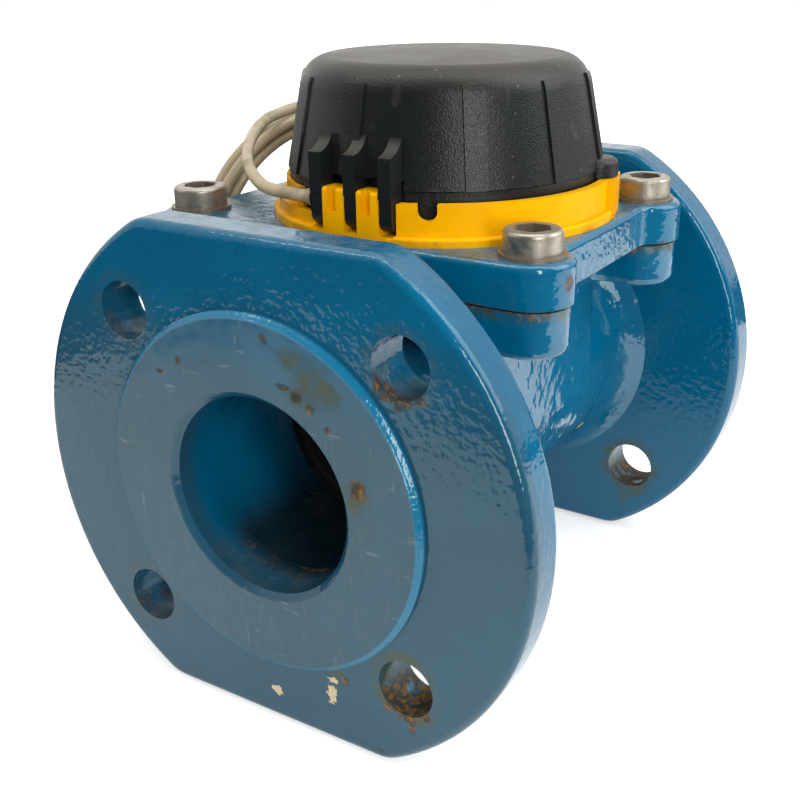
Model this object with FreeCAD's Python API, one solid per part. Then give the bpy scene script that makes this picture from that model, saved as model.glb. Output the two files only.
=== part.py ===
import FreeCAD, Part
import math
import os

# Woltmann turbine water meter with a hinged register lid.
# X runs across the pipe, Y along it from inlet to outlet, Z up.
# The origin lies under the middle of the pipe, on the ground that the two flanges stand on.

V = FreeCAD.Vector
X_DIR = V(1, 0, 0)
Y_DIR = V(0, 1, 0)
Z_DIR = V(0, 0, 1)

# Pipe flanges and bore
FACE_TO_FACE = 200.0
BORE_D = 65.0
BORE_MOUTH = 2.0
FLANGE_OD = 185.0
FLANGE_FLATS = 163.0
FLANGE_T = 16.0
FLANGE_CORNER_R = 14.0
FLANGE_EDGE_R = 3.0
RAISED_D = 118.0
RAISED_H = 3.0
RAISED_BEVEL = 1.6
BOLT_CIRCLE_D = 145.0
BOLT_HOLE_D = 19.0
BOLT_COUNT = 4

# Cast barrel and neck
BARREL_D = 92.0
FLARE_RISE = 9.0
FLARE_L = 20.0
POCKET_D = 78.0
POCKET_L = 80.0
POCKET_CORNER_R = 10.0
NECK_WALL_X = 11.0
NECK_WALL_Y = 7.0
NECK_CORNER_R = 14.0
CAST_MARK_L = 22.0
CAST_MARK_W = 2.0
CAST_MARK_UP = 24.0
CAST_MARK_H = 0.9

# Cover plate, its seat and its screws
COVER_T = 13.5
COVER_EDGE_R = 2.2
COVER_HEIGHT = 72.0
COVER_MARGIN = 1.7
LOBE_MARGIN = 2.75
LOBE_BLEND_R = 5.0
GASKET_T = 1.0
GASKET_INSET = 2.0
SEAT_T = 15.0
SEAT_INSET = 1.2
SEAT_WAIST_STEP = 2.0
SEAT_EDGE_R = 3.0
SCREW_SPAN_Y = 88.8
SCREW_GAP = 2.0
SCREW_D = 12.0
SCREW_HEAD_D = 18.0
SCREW_HEAD_H = 7.0
SCREW_HEAD_EDGE_R = 1.4
SCREW_SOCKET = 10.0
SCREW_SOCKET_DEPTH = 4.5
SCREW_HOLE_CLEAR = 0.75
THREAD_CLEAR = 0.05
WASHER_RIM = 1.25
WASHER_T = 1.2

# Measuring insert
INSERT_CLEAR = 0.4
INSERT_STEP = 0.5
END_CLEAR = 0.3
SEAL_W = 2.0
SEAL_T = 1.8
SEAL_CLEAR = 0.1
RING_CLEAR = 0.15
RING_WALL = 2.6
PEDESTAL_CLEAR = 0.7
PEDESTAL_FLANGE_T = 6.0
PEDESTAL_CORNER_R = 6.0
PEDESTAL_SCREW_INSET = 6.0
PEDESTAL_SCREW_D = 5.0
PEDESTAL_SCREW_HEAD_D = 8.5
PEDESTAL_SCREW_HEAD_H = 3.5
PEDESTAL_SCREW_GRIP = 7.0
PEDESTAL_SLOT_W = 1.0
COLUMN_W = 30.0

# Rotor and worm drive
ROTOR_TIP_CLEAR = 0.8
ROTOR_HUB_D = 20.0
ROTOR_L = 16.0
ROTOR_BLADES = 6
BLADE_T = 1.6
BLADE_LEAD = 150.0
BLADE_ROOT_IN = 2.0
BLADE_SECTIONS = 5
SHAFT_D = 3.0
RUN_CLEAR = 0.05
AXIAL_CLEAR = 0.4
BUSH_WALL = 1.5
BUSH_L = 4.5
WORM_MODULE = 0.5
WORM_TEETH = 20
WORM_PITCH_D = 6.6
WORM_TURNS = 6
WORM_FRONT_GAP = 1.7
WORM_REAR_GAP = 3.3
TIP_RATIO = 0.3
ROOT_RATIO = 0.8
ADDENDUM_RATIO = 0.9
DEDENDUM_RATIO = 1.3
WHEEL_FACE = 2.4
SPINDLE_D = 4.0
PIVOT_D = 2.4
PIVOT_L = 2.6
SHELF_T = 3.0
STRAIGHTENER_L = 15.0
STRAIGHTENER_VANES = 6
VANE_T = 2.0
VANE_INSET = 1.0
VANE_ROOT_D = 10.0
NOSE_R = 8.0
CARRIER_L = 16.0
CARRIER_VANES = 3
CARRIER_TURN = -90.0
CARRIER_HUB_D = 14.0
TAIL_L = 7.0
TAIL_END_D = 4.6

# Magnetic coupling through the cover
CUP_D = 28.0
CUP_WALL = 1.3
CUP_LID_T = 1.5
CUP_FLANGE_W = 6.0
CUP_FLANGE_T = 3.0
CUP_TOP_GAP = 0.6
DRIVER_SIDE_GAP = 2.7
DRIVER_H = 7.0
FOLLOWER_D = 18.0
FOLLOWER_H = 4.3
MAGNET_GAP = 0.8

# Register
CAN_D = 92.0
CAN_WALL = 1.5
CAN_LEDGE_W = 1.5
MOVEMENT_T = 1.0
DIAL_STANDOFF = 3.6
DIAL_T = 1.0
GLASS_OVERHANG = 1.5
GLASS_T = 3.0
GLASS_AIR = 2.4
BEZEL_WALL = 2.5
BEZEL_NECK_WALL = 2.3
BEZEL_STEP = 3.0
BEZEL_BAND_RISE = 0.2
BEZEL_SHELF_W = 1.0
BEZEL_TOP_LIP = 1.1
BEZEL_LIP_W = 1.6
ARBOR_D = 2.0
ARBOR_BOSS_D = 4.0
ARBOR_CLEAR = 0.3
HAND_T = 0.8
HAND_UP = 0.6
HAND_L = 6.0
HAND_HUB_D = 3.4
HAND_ROOT_W = 1.7
HAND_TAIL = 2.0
HAND_PLACES = ((-20.0, 12.0), (0.0, 24.0), (20.0, 12.0))
STAR_D = 9.0
STAR_POINTS = 6
STAR_SLIM = 0.55
ROLLER_COUNT = 6
ROLLER_D = 9.2
ROLLER_W = 5.2
ROLLER_GAP = 0.5
ROLLER_ROW = -16.0
ROLLER_AXLE_D = 2.0
ROLLER_WINDOW_CLEAR = 0.5
ROLLER_PROUD = 1.4
CHEEK_T = 1.2
CHEEK_W = 6.0

# Yellow clamp ring
RING_GAP = 1.2
RING_WALL_T = 3.0
RING_H = 12.7
LIP_W = 2.0
LIP_T = 3.0
LIP_EDGE_R = 1.0
FLOOR_CLEAR = 0.3
NOTCH_ANGLE = -65.0
NOTCH_W = 6.2
NOTCH_DEPTH = 5.2
TRAY_START = -185.0
TRAY_END = -105.5
TRAY_H = 6.6
TRAY_WALL_T = 1.2
TRAY_WALL_END = -117.0
POST_ANGLES = (17.0, 163.0)
POST_W = 16.0
RING_SCREW_ANGLES = (0.0, 70.0, 180.0)
RING_SCREW_D = 2.5
RING_SCREW_HEAD_D = 3.8
RING_SCREW_HEAD_H = 2.0
RING_SCREW_SLOT_W = 0.64
RING_SCREW_L = 9.0

# Hinge
FINGER_W = 4.4
FINGER_PITCH = 12.7
FINGER_SIDE_CLEAR = 0.3
FINGER_KNEE_H = 10.5
FINGER_TOP_H = 15.6
FINGER_HOLLOW = 1.2
FINGER_SINK = 2.8
FINGER_STEP = 0.5
FINGER_STEP_DROP = 2.0
HINGE_R = 4.2
HINGE_UP = 7.3
HINGE_PROUD = 0.5
HINGE_SWEEP_R = 12.0
KNUCKLE_H = 16.0
KNUCKLE_DEPTH = 7.1
KNUCKLE_TOP_R = 1.2
KNUCKLE_GROOVE_W = 3.4
KNUCKLE_GROOVE_LEFT = 2.2
KNUCKLE_GROOVE_DEPTH = 2.0
KNUCKLE_GROOVE_UP = 8.5
PIN_D = 3.0

# Lid
LID_OVERHANG = 0.7
LID_SEAT_GAP = 0.4
LID_SIDE_H = 27.5
LID_TAPER = 5.3
LID_CORNER_W = 8.2
LID_CORNER_H = 8.1
LID_CROWN = 1.6
LID_WALL = 2.2
RIB_MIDDLE = -71.5
RIB_FIRST = 22.3
RIB_STEP = 32.4
RIBS_EACH_SIDE = 5
RIB_W = 7.0
RIB_H = 0.8
RIB_RISE = 3.0
EAR_W = 15.0
EAR_H = 6.0
EAR_GAP = 0.3
EAR_EDGE_R = 2.5

# Pulse sensor and cable
SENSOR_RIGHT = -15.7
SENSOR_L = 3.0
SENSOR_INSET = 4.6
SENSOR_GAP = 1.0
SENSOR_H = 9.6
GLAND_D = 5.0
GLAND_L = 2.5
GLAND_COLLAR_D = 6.0
GLAND_COLLAR_L = 1.0
GLAND_DEPTH = 7.5
GLAND_UP = 10.6
CABLE_D = 4.2
BEND_SHARE = 0.45
LEAD_POINTS = (
    (-29.0, -50.0, 10.6),
    (-37.8, -46.0, 13.0),
    (-46.0, -39.5, 15.2),
    (-53.0, -31.5, 17.5),
    (-59.0, -23.0, 20.0),
    (-64.0, -13.0, 22.5),
    (-67.3, -2.5, 25.3),
    (-68.2, 8.0, 26.2),
)
COIL_CENTRE = (-67.2, 28.7, -24.7)
COIL_YAW = 25.7
COIL_LEAN = 6.4
COIL_D = 98.6
COIL_BUNDLE_D = 14.0

# Diameters that step outwards from the register can
GLASS_D = CAN_D + 2 * GLASS_OVERHANG
BEZEL_NECK_D = GLASS_D + 2 * BEZEL_NECK_WALL
BEZEL_D = BEZEL_NECK_D + 2 * BEZEL_STEP
BEZEL_SHELF_D = CAN_D - 2 * BEZEL_SHELF_W
RING_D = BEZEL_D + 2 * (RING_GAP + RING_WALL_T)
LIP_D = RING_D + 2 * LIP_W
LID_D = BEZEL_D + 2 * LID_OVERHANG
LID_SHOULDER_D = LID_D - 2 * LID_TAPER
LID_TOP_D = LID_SHOULDER_D - 2 * LID_CORNER_W
EAR_R = LIP_D / 2

# Measuring insert, rotor and worm drive
AXIS_Z = FLANGE_FLATS / 2
HALF_L = FACE_TO_FACE / 2
FLANGE_BACK = HALF_L - RAISED_H - FLANGE_T
POCKET_R = POCKET_D / 2
NECK_X = POCKET_R + NECK_WALL_X
SEAT_SIDE = NECK_X + SEAT_WAIST_STEP
WHEEL_PITCH_R = WORM_MODULE * WORM_TEETH / 2
WORM_PITCH = math.pi * WORM_MODULE
WORM_L = WORM_TURNS * WORM_PITCH
TOOTH_TIP_HALF = TIP_RATIO * WORM_MODULE
TOOTH_ROOT_HALF = ROOT_RATIO * WORM_MODULE
TOOTH_ADDENDUM = ADDENDUM_RATIO * WORM_MODULE
TOOTH_DEDENDUM = DEDENDUM_RATIO * WORM_MODULE
REG_X = WHEEL_PITCH_R + WORM_PITCH_D / 2
INSERT_R = POCKET_R - INSERT_CLEAR
TUBE_R = BORE_D / 2 - INSERT_STEP
SEAL_R = (INSERT_R + TUBE_R) / 2
INSERT_HALF_L = POCKET_L / 2 - END_CLEAR
PEDESTAL_HALF = POCKET_R - REG_X - PEDESTAL_CLEAR
BUSH_R = SHAFT_D / 2 + RUN_CLEAR + BUSH_WALL
ROTOR_FRONT = -WORM_L / 2 - WORM_FRONT_GAP - ROTOR_L
CARRIER_FRONT = WORM_L / 2 + WORM_REAR_GAP
STRAIGHTENER_END = ROTOR_FRONT - AXIAL_CLEAR
STRAIGHTENER_START = STRAIGHTENER_END - STRAIGHTENER_L
SHAFT_START = STRAIGHTENER_END - BUSH_L + AXIAL_CLEAR
SHAFT_END = CARRIER_FRONT + BUSH_L - AXIAL_CLEAR

# Cover plate and its screws
COVER_TOP = AXIS_Z + COVER_HEIGHT
COVER_BOTTOM = COVER_TOP - COVER_T
SEAT_TOP = COVER_BOTTOM - GASKET_T
SEAT_BOTTOM = SEAT_TOP - SEAT_T
COVER_HALF = REG_X + LIP_D / 2 + COVER_MARGIN
WASHER_D = SCREW_HEAD_D + 2 * WASHER_RIM
LOBE_R = WASHER_D / 2 + LOBE_MARGIN
SCREW_Y = SCREW_SPAN_Y / 2
SCREW_X = REG_X + math.sqrt(((LIP_D + WASHER_D) / 2 + SCREW_GAP) ** 2 - SCREW_Y ** 2)
SCREW_PLACES = tuple((sx * SCREW_X, sy * SCREW_Y) for sx in (-1, 1) for sy in (-1, 1))

# Levels inside the register
DRIVER_D = CUP_D - 2 * (CUP_WALL + DRIVER_SIDE_GAP)
DRIVER_TOP = COVER_TOP - CUP_TOP_GAP - CUP_LID_T - MAGNET_GAP
DRIVER_BOTTOM = DRIVER_TOP - DRIVER_H
SOCKET_Z = COVER_TOP + MAGNET_GAP
FOLLOWER_Z = COVER_TOP + CAN_WALL + MAGNET_GAP + AXIAL_CLEAR
MOVEMENT_Z = FOLLOWER_Z + FOLLOWER_H + AXIAL_CLEAR
DIAL_Z = MOVEMENT_Z + MOVEMENT_T + DIAL_STANDOFF
DIAL_TOP = DIAL_Z + DIAL_T
HAND_Z = DIAL_TOP + HAND_UP
GLASS_Z = DIAL_TOP + GLASS_AIR
BAND_Z = GLASS_Z + BEZEL_BAND_RISE
BEZEL_TOP = GLASS_Z + GLASS_T + BEZEL_TOP_LIP
ROLLER_SPAN = ROLLER_COUNT * ROLLER_W + (ROLLER_COUNT - 1) * ROLLER_GAP
ROLLER_Z = DIAL_TOP + ROLLER_PROUD - ROLLER_D / 2
CHEEK_X = ROLLER_SPAN / 2 + ROLLER_GAP

# Clamp ring, hinge and lid
FLOOR_Z = COVER_TOP + LIP_T
FLOOR_R = CAN_D / 2 + FLOOR_CLEAR
RING_TOP = COVER_TOP + RING_H
KNUCKLE_TOP = COVER_TOP + KNUCKLE_H
HINGE_FRONT = RING_D / 2 + HINGE_PROUD
HINGE_Y = HINGE_R - HINGE_FRONT
HINGE_Z = COVER_TOP + HINGE_UP
KNUCKLE_INNER = HINGE_FRONT - KNUCKLE_DEPTH
FINGER_BACK = LID_D / 2 - FINGER_SINK
FINGER_XS = tuple(REG_X + i * FINGER_PITCH for i in (-1, 0, 1))
SLOT_W = FINGER_W + 2 * FINGER_SIDE_CLEAR
HINGE_HALF_W = FINGER_PITCH + SLOT_W / 2
SKIRT_Z = BAND_Z + LID_SEAT_GAP
SHOULDER_Z = SKIRT_Z + LID_SIDE_H
LID_TOP_Z = SHOULDER_Z + LID_CORNER_H
EAR_LOW_Z = RING_TOP + EAR_GAP

# Sensor and gland, beside the hinge
SENSOR_FRONT = RING_D / 2 - SENSOR_INSET
SENSOR_BACK = CAN_D / 2 + SENSOR_GAP
GLAND_Y = GLAND_DEPTH - HINGE_FRONT
GLAND_Z = COVER_TOP + GLAND_UP
GLAND_START = REG_X + SENSOR_RIGHT - SENSOR_L
GLAND_END = GLAND_START - GLAND_L


def cylinder(radius, length, base, direction=Z_DIR):
    return Part.makeCylinder(radius, length, base, direction)


def tube(outer_r, inner_r, length, base, direction=Z_DIR):
    return cylinder(outer_r, length, base, direction).cut(cylinder(inner_r, length, base, direction))


def block(x0, x1, y0, y1, z0, z1):
    return Part.makeBox(x1 - x0, y1 - y0, z1 - z0, V(x0, y0, z0))


def fuse_all(shapes):
    solid = shapes[0]
    for shape in shapes[1:]:
        solid = solid.fuse(shape)
    return solid.removeSplitter()


def cut_all(solid, tools):
    for tool in tools:
        solid = solid.cut(tool)
    return solid


def edges_along(shape, direction, keep=lambda edge: True):
    """Straight edges that run along a direction."""
    found = []
    for edge in shape.Edges:
        if isinstance(edge.Curve, Part.Line) and abs(abs(edge.Curve.Direction.dot(direction)) - 1) < 1e-6:
            if keep(edge):
                found.append(edge)
    return found


def edges_at(shape, axis, level, keep=lambda edge: True):
    """Edges that lie wholly in a plane across the named axis."""
    found = []
    for edge in shape.Edges:
        box = edge.BoundBox
        low, high = getattr(box, axis + "Min"), getattr(box, axis + "Max")
        if abs(low - level) < 1e-5 and abs(high - level) < 1e-5 and keep(edge):
            found.append(edge)
    return found


def turned(points, centre_x, angle=360.0):
    """Solid of revolution about a vertical axis, from an (r, z) outline."""
    path = [V(centre_x + r, 0, z) for r, z in points]
    face = Part.Face(Part.makePolygon(path + path[:1]))
    return face.revolve(V(centre_x, 0, 0), Z_DIR, angle)


def around_register(shape, angle):
    copy = shape.copy()
    copy.rotate(V(REG_X, 0, 0), Z_DIR, angle)
    return copy


def sector(start, end, radius, low, high):
    """Wedge about the register's axis between two angles."""
    wedge = Part.makeCylinder(radius, high - low, V(REG_X, 0, low), Z_DIR, end - start)
    return around_register(wedge, start)


def hexagon(across_flats, height, base):
    radius = across_flats / math.sqrt(3)
    corners = [base + V(radius * math.cos(math.radians(60 * i)), radius * math.sin(math.radians(60 * i)), 0)
               for i in range(6)]
    return Part.Face(Part.makePolygon(corners + corners[:1])).extrude(V(0, 0, height))


def lobed_plate(inset, side, low, high):
    """Plate with a round lobe at each screw and pulled-in sides between them."""
    lobe = LOBE_R - inset
    pieces = [block(-side, side, -SCREW_Y, SCREW_Y, low, high)]
    pieces += [block(-SCREW_X, SCREW_X, y - lobe, y + lobe, low, high) for y in (-SCREW_Y, SCREW_Y)]
    pieces += [cylinder(lobe, high - low, V(x, y, low)) for x, y in SCREW_PLACES]
    plate = fuse_all(pieces)
    inner_y = SCREW_Y - math.sqrt(lobe ** 2 - max(side - SCREW_X, 0) ** 2)
    corners = edges_along(plate, Z_DIR, lambda e: abs(abs(e.Vertexes[0].Y) - inner_y) < 1e-3)
    return plate.makeFillet(LOBE_BLEND_R, corners)


def along_pipe(points):
    """Solid of revolution about the pipe's axis, from an (r, y) outline."""
    path = [V(r, y, AXIS_Z) for r, y in points]
    face = Part.Face(Part.makePolygon(path + path[:1]))
    return face.revolve(V(0, 0, AXIS_Z), Y_DIR, 360)


def flange_blank():
    """Round flange with a flat above and below, rounded all round its rim."""
    disc = cylinder(FLANGE_OD / 2, FLANGE_T, V(0, FLANGE_BACK, AXIS_Z), Y_DIR)
    slab = block(-FLANGE_OD / 2, FLANGE_OD / 2, FLANGE_BACK, FLANGE_BACK + FLANGE_T, 0, FLANGE_FLATS)
    blank = disc.common(slab)
    blank = blank.makeFillet(FLANGE_CORNER_R, edges_along(blank, Y_DIR))
    rims = edges_at(blank, "Y", FLANGE_BACK) + edges_at(blank, "Y", FLANGE_BACK + FLANGE_T)
    return blank.makeFillet(FLANGE_EDGE_R, rims)


def pipe_flange(turn):
    """End of the casting from the flange's back outwards, turned about the meter's upright axis."""
    raised_r, bore_r, circle_r = RAISED_D / 2, BORE_D / 2, BOLT_CIRCLE_D / 2
    face_y = HALF_L - RAISED_H
    raised = along_pipe([(0, face_y), (raised_r, face_y), (raised_r, HALF_L - RAISED_BEVEL),
                         (raised_r - RAISED_BEVEL, HALF_L), (0, HALF_L)])
    bore = along_pipe([(0, FLANGE_BACK), (bore_r, FLANGE_BACK), (bore_r, HALF_L - BORE_MOUTH),
                       (bore_r + BORE_MOUTH, HALF_L), (0, HALF_L)])
    holes = []
    for index in range(BOLT_COUNT):
        angle = math.radians(360 * (index + 0.5) / BOLT_COUNT)
        place = V(circle_r * math.cos(angle), FLANGE_BACK, AXIS_Z + circle_r * math.sin(angle))
        holes.append(cylinder(BOLT_HOLE_D / 2, FLANGE_T + RAISED_H, place, Y_DIR))
    solid = cut_all(fuse_all([flange_blank(), raised]), [bore] + holes)
    solid.rotate(V(0, 0, 0), Z_DIR, turn)
    return solid


def flared_barrel():
    """Round barrel that swells into each flange by a hollow arc."""
    hollow_r = (FLARE_RISE ** 2 + FLARE_L ** 2) / (2 * FLARE_RISE)
    turn, start = math.asin(FLARE_L / hollow_r), FLANGE_BACK - FLARE_L
    flare = [V(BARREL_D / 2 + hollow_r * (1 - math.cos(t)), start + hollow_r * math.sin(t), AXIS_Z)
             for t in (0, turn / 2, turn)]
    other = [V(p.x, -p.y, p.z) for p in flare]
    path = [flare[2], V(0, FLANGE_BACK, AXIS_Z), V(0, -FLANGE_BACK, AXIS_Z), other[2]]
    edges = [Part.makeLine(a, b) for a, b in zip(path, path[1:])]
    edges += [Part.Arc(*reversed(other)).toShape(), Part.makeLine(other[0], flare[0]),
              Part.Arc(*flare).toShape()]
    return Part.Face(Part.Wire(edges)).revolve(V(0, 0, AXIS_Z), Y_DIR, 360)


def body_casting():
    """Barrel between the flanges, with the neck and the lugged seat that carries the cover."""
    barrel = flared_barrel()
    neck_y = POCKET_L / 2 + NECK_WALL_Y
    neck = block(-NECK_X, NECK_X, -neck_y, neck_y, AXIS_Z, SEAT_BOTTOM + SEAT_EDGE_R)
    neck = neck.makeFillet(NECK_CORNER_R, edges_along(neck, Z_DIR))
    seat = lobed_plate(SEAT_INSET, SEAT_SIDE, SEAT_BOTTOM, SEAT_TOP)
    seat = seat.makeFillet(SEAT_EDGE_R, edges_at(seat, "Z", SEAT_BOTTOM))
    mark_x = math.sqrt((BARREL_D / 2) ** 2 - CAST_MARK_UP ** 2)
    mark = block(mark_x - CAST_MARK_W, mark_x + CAST_MARK_H, -CAST_MARK_L, 0,
                 AXIS_Z + CAST_MARK_UP - CAST_MARK_W / 2, AXIS_Z + CAST_MARK_UP + CAST_MARK_W / 2)
    body = fuse_all([barrel, neck, seat, mark])
    bore = cylinder(BORE_D / 2, 2 * FLANGE_BACK, V(0, -FLANGE_BACK, AXIS_Z), Y_DIR)
    pocket_round = cylinder(POCKET_R, POCKET_L, V(0, -POCKET_L / 2, AXIS_Z), Y_DIR)
    taps = [cylinder(SCREW_D / 2, SEAT_T, V(x, y, SEAT_BOTTOM)) for x, y in SCREW_PLACES]
    return cut_all(body, [bore, pocket_round, pocket_way(AXIS_Z, SEAT_TOP)] + taps)


def pocket_way(low, high):
    """Upright opening that the measuring insert drops through."""
    way = block(-POCKET_R, POCKET_R, -POCKET_L / 2, POCKET_L / 2, low, high)
    return way.makeFillet(POCKET_CORNER_R, edges_along(way, Z_DIR))


def cover_gasket():
    sheet = lobed_plate(GASKET_INSET, SEAT_SIDE + SEAT_INSET - GASKET_INSET, SEAT_TOP, COVER_BOTTOM)
    screws = [cylinder(SCREW_D / 2 + SCREW_HOLE_CLEAR, GASKET_T, V(x, y, SEAT_TOP)) for x, y in SCREW_PLACES]
    return cut_all(sheet, [pocket_way(SEAT_TOP, COVER_BOTTOM)] + screws)


def pedestal_screw_places():
    half = PEDESTAL_HALF - PEDESTAL_SCREW_INSET
    return [(REG_X + sx * half, sy * half) for sx in (-1, 1) for sy in (-1, 1)]


def ring_screw_places():
    radius = (CAN_D + BEZEL_D - 2 * BEZEL_WALL) / 4
    return [(REG_X + radius * math.cos(math.radians(a)), radius * math.sin(math.radians(a)))
            for a in RING_SCREW_ANGLES]


def cover_plate():
    plate = lobed_plate(0, COVER_HALF, COVER_BOTTOM, COVER_TOP)
    plate = plate.makeFillet(COVER_EDGE_R, edges_at(plate, "Z", COVER_TOP))
    hole_r = SCREW_D / 2 + SCREW_HOLE_CLEAR
    tools = [cylinder(hole_r, COVER_T, V(x, y, COVER_BOTTOM)) for x, y in SCREW_PLACES]
    tools += [cylinder(CUP_D / 2, COVER_T, V(REG_X, 0, COVER_BOTTOM)),
              cylinder(CUP_D / 2 + CUP_FLANGE_W, CUP_FLANGE_T, V(REG_X, 0, COVER_BOTTOM))]
    tools += [cylinder(PEDESTAL_SCREW_D / 2, PEDESTAL_SCREW_GRIP, V(x, y, COVER_BOTTOM))
              for x, y in pedestal_screw_places()]
    grip = RING_SCREW_L - LIP_T
    tools += [cylinder(RING_SCREW_D / 2, grip, V(x, y, COVER_TOP - grip)) for x, y in ring_screw_places()]
    return cut_all(plate, tools)


def cover_screw(x, y):
    seat = COVER_TOP + WASHER_T
    head = cylinder(SCREW_HEAD_D / 2, SCREW_HEAD_H, V(x, y, seat))
    head = head.makeFillet(SCREW_HEAD_EDGE_R, edges_at(head, "Z", seat + SCREW_HEAD_H))
    length = seat - SEAT_BOTTOM - SEAT_EDGE_R
    shank = cylinder(SCREW_D / 2 - THREAD_CLEAR, length, V(x, y, seat - length))
    socket = hexagon(SCREW_SOCKET, SCREW_SOCKET_DEPTH, V(x, y, seat + SCREW_HEAD_H - SCREW_SOCKET_DEPTH))
    return head.fuse(shank).cut(socket)


def cover_washer(x, y):
    return tube(WASHER_D / 2, SCREW_D / 2 + SCREW_HOLE_CLEAR / 2, WASHER_T, V(x, y, COVER_TOP))


def pressure_cup():
    outer_r, base = CUP_D / 2, V(REG_X, 0, COVER_BOTTOM)
    height = COVER_T - CUP_TOP_GAP
    cup = cylinder(outer_r + CUP_FLANGE_W, CUP_FLANGE_T, base).fuse(cylinder(outer_r, height, base))
    return cup.cut(cylinder(outer_r - CUP_WALL, height - CUP_LID_T, base))


def insert_tube():
    body = cylinder(INSERT_R, 2 * INSERT_HALF_L, V(0, -INSERT_HALF_L, AXIS_Z), Y_DIR)
    half_column, half_flange = COLUMN_W / 2, PEDESTAL_HALF
    column = block(REG_X - half_column, REG_X + half_column, -half_column, half_column, AXIS_Z, COVER_BOTTOM)
    head = block(REG_X - half_flange, REG_X + half_flange, -half_flange, half_flange,
                 COVER_BOTTOM - PEDESTAL_FLANGE_T, COVER_BOTTOM)
    head = head.makeFillet(PEDESTAL_CORNER_R, edges_along(head, Z_DIR))
    solid = fuse_all([body, column, head])
    tools = [cylinder(TUBE_R, 2 * INSERT_HALF_L, V(0, -INSERT_HALF_L, AXIS_Z), Y_DIR)]
    depth = SEAL_T - END_CLEAR
    outer_r, inner_r = SEAL_R + SEAL_W / 2 + SEAL_CLEAR, SEAL_R - SEAL_W / 2 - SEAL_CLEAR
    tools += [tube(outer_r, inner_r, depth, V(0, -INSERT_HALF_L, AXIS_Z), Y_DIR),
              tube(outer_r, inner_r, depth, V(0, INSERT_HALF_L - depth, AXIS_Z), Y_DIR)]
    bush_r = SPINDLE_D / 2 + RUN_CLEAR + BUSH_WALL
    tools += [cylinder(bush_r, COVER_BOTTOM - AXIS_Z, V(REG_X, 0, AXIS_Z))]
    tools += [cylinder(PEDESTAL_SCREW_D / 2 + SCREW_HOLE_CLEAR / 2, PEDESTAL_FLANGE_T,
                       V(x, y, COVER_BOTTOM - PEDESTAL_FLANGE_T)) for x, y in pedestal_screw_places()]
    return cut_all(solid, tools)


def insert_screw(x, y):
    under = COVER_BOTTOM - PEDESTAL_FLANGE_T
    head_low = under - PEDESTAL_SCREW_HEAD_H
    head = cylinder(PEDESTAL_SCREW_HEAD_D / 2, PEDESTAL_SCREW_HEAD_H, V(x, y, head_low))
    length = PEDESTAL_FLANGE_T + PEDESTAL_SCREW_GRIP - THREAD_CLEAR
    shank = cylinder(PEDESTAL_SCREW_D / 2 - THREAD_CLEAR, length, V(x, y, under))
    slot = block(x - PEDESTAL_SCREW_HEAD_D, x + PEDESTAL_SCREW_HEAD_D, y - PEDESTAL_SLOT_W / 2,
                 y + PEDESTAL_SLOT_W / 2, head_low, head_low + PEDESTAL_SCREW_HEAD_H / 2)
    return head.fuse(shank).cut(slot)


def tube_seal(side):
    start = POCKET_L / 2 - SEAL_T if side > 0 else -POCKET_L / 2
    return tube(SEAL_R + SEAL_W / 2, SEAL_R - SEAL_W / 2, SEAL_T, V(0, start, AXIS_Z), Y_DIR)


def vaned_ring(start, length, vanes, first_angle):
    """Outer ring and radial vanes, fitted inside the measuring tube round a hub."""
    outer_r = TUBE_R - RING_CLEAR
    pieces = [tube(outer_r, outer_r - RING_WALL, length, V(0, start, AXIS_Z), Y_DIR)]
    for index in range(vanes):
        vane = block(VANE_ROOT_D / 2, outer_r - RING_WALL / 2, start + VANE_INSET,
                     start + length - VANE_INSET, AXIS_Z - VANE_T / 2, AXIS_Z + VANE_T / 2)
        vane.rotate(V(0, 0, AXIS_Z), Y_DIR, first_angle + 360 * index / vanes)
        pieces.append(vane)
    return pieces


def flow_straightener():
    hub_r = ROTOR_HUB_D / 2
    hub = cylinder(hub_r, STRAIGHTENER_L, V(0, STRAIGHTENER_START, AXIS_Z), Y_DIR)
    hub = hub.makeFillet(NOSE_R, edges_at(hub, "Y", STRAIGHTENER_START))
    solid = fuse_all([hub] + vaned_ring(STRAIGHTENER_START, STRAIGHTENER_L, STRAIGHTENER_VANES, 0))
    return solid.cut(cylinder(BUSH_R, BUSH_L, V(0, STRAIGHTENER_END - BUSH_L, AXIS_Z), Y_DIR))


def rear_carrier():
    hub_r = CARRIER_HUB_D / 2
    hub = cylinder(hub_r, CARRIER_L, V(0, CARRIER_FRONT, AXIS_Z), Y_DIR)
    tail = Part.makeCone(hub_r, TAIL_END_D / 2, TAIL_L, V(0, CARRIER_FRONT + CARRIER_L, AXIS_Z), Y_DIR)
    pivot_r = PIVOT_D / 2 + BUSH_WALL
    top = AXIS_Z - WHEEL_FACE / 2 - PIVOT_L
    shelf = block(REG_X - pivot_r, REG_X + pivot_r, -pivot_r, CARRIER_FRONT, top - SHELF_T, top)
    foot = block(0, REG_X + pivot_r, CARRIER_FRONT, CARRIER_FRONT + SHELF_T, top - SHELF_T, AXIS_Z)
    vanes = vaned_ring(CARRIER_FRONT, CARRIER_L, CARRIER_VANES, CARRIER_TURN)
    solid = fuse_all([hub, tail, shelf, foot] + vanes)
    return cut_all(solid, [cylinder(BUSH_R, BUSH_L, V(0, CARRIER_FRONT, AXIS_Z), Y_DIR),
                           cylinder(PIVOT_D / 2 + RUN_CLEAR, SHELF_T, V(REG_X, 0, top - SHELF_T))])


def pivot_bush(start):
    return tube(BUSH_R, SHAFT_D / 2 + RUN_CLEAR, BUSH_L, V(0, start, AXIS_Z), Y_DIR)


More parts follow.
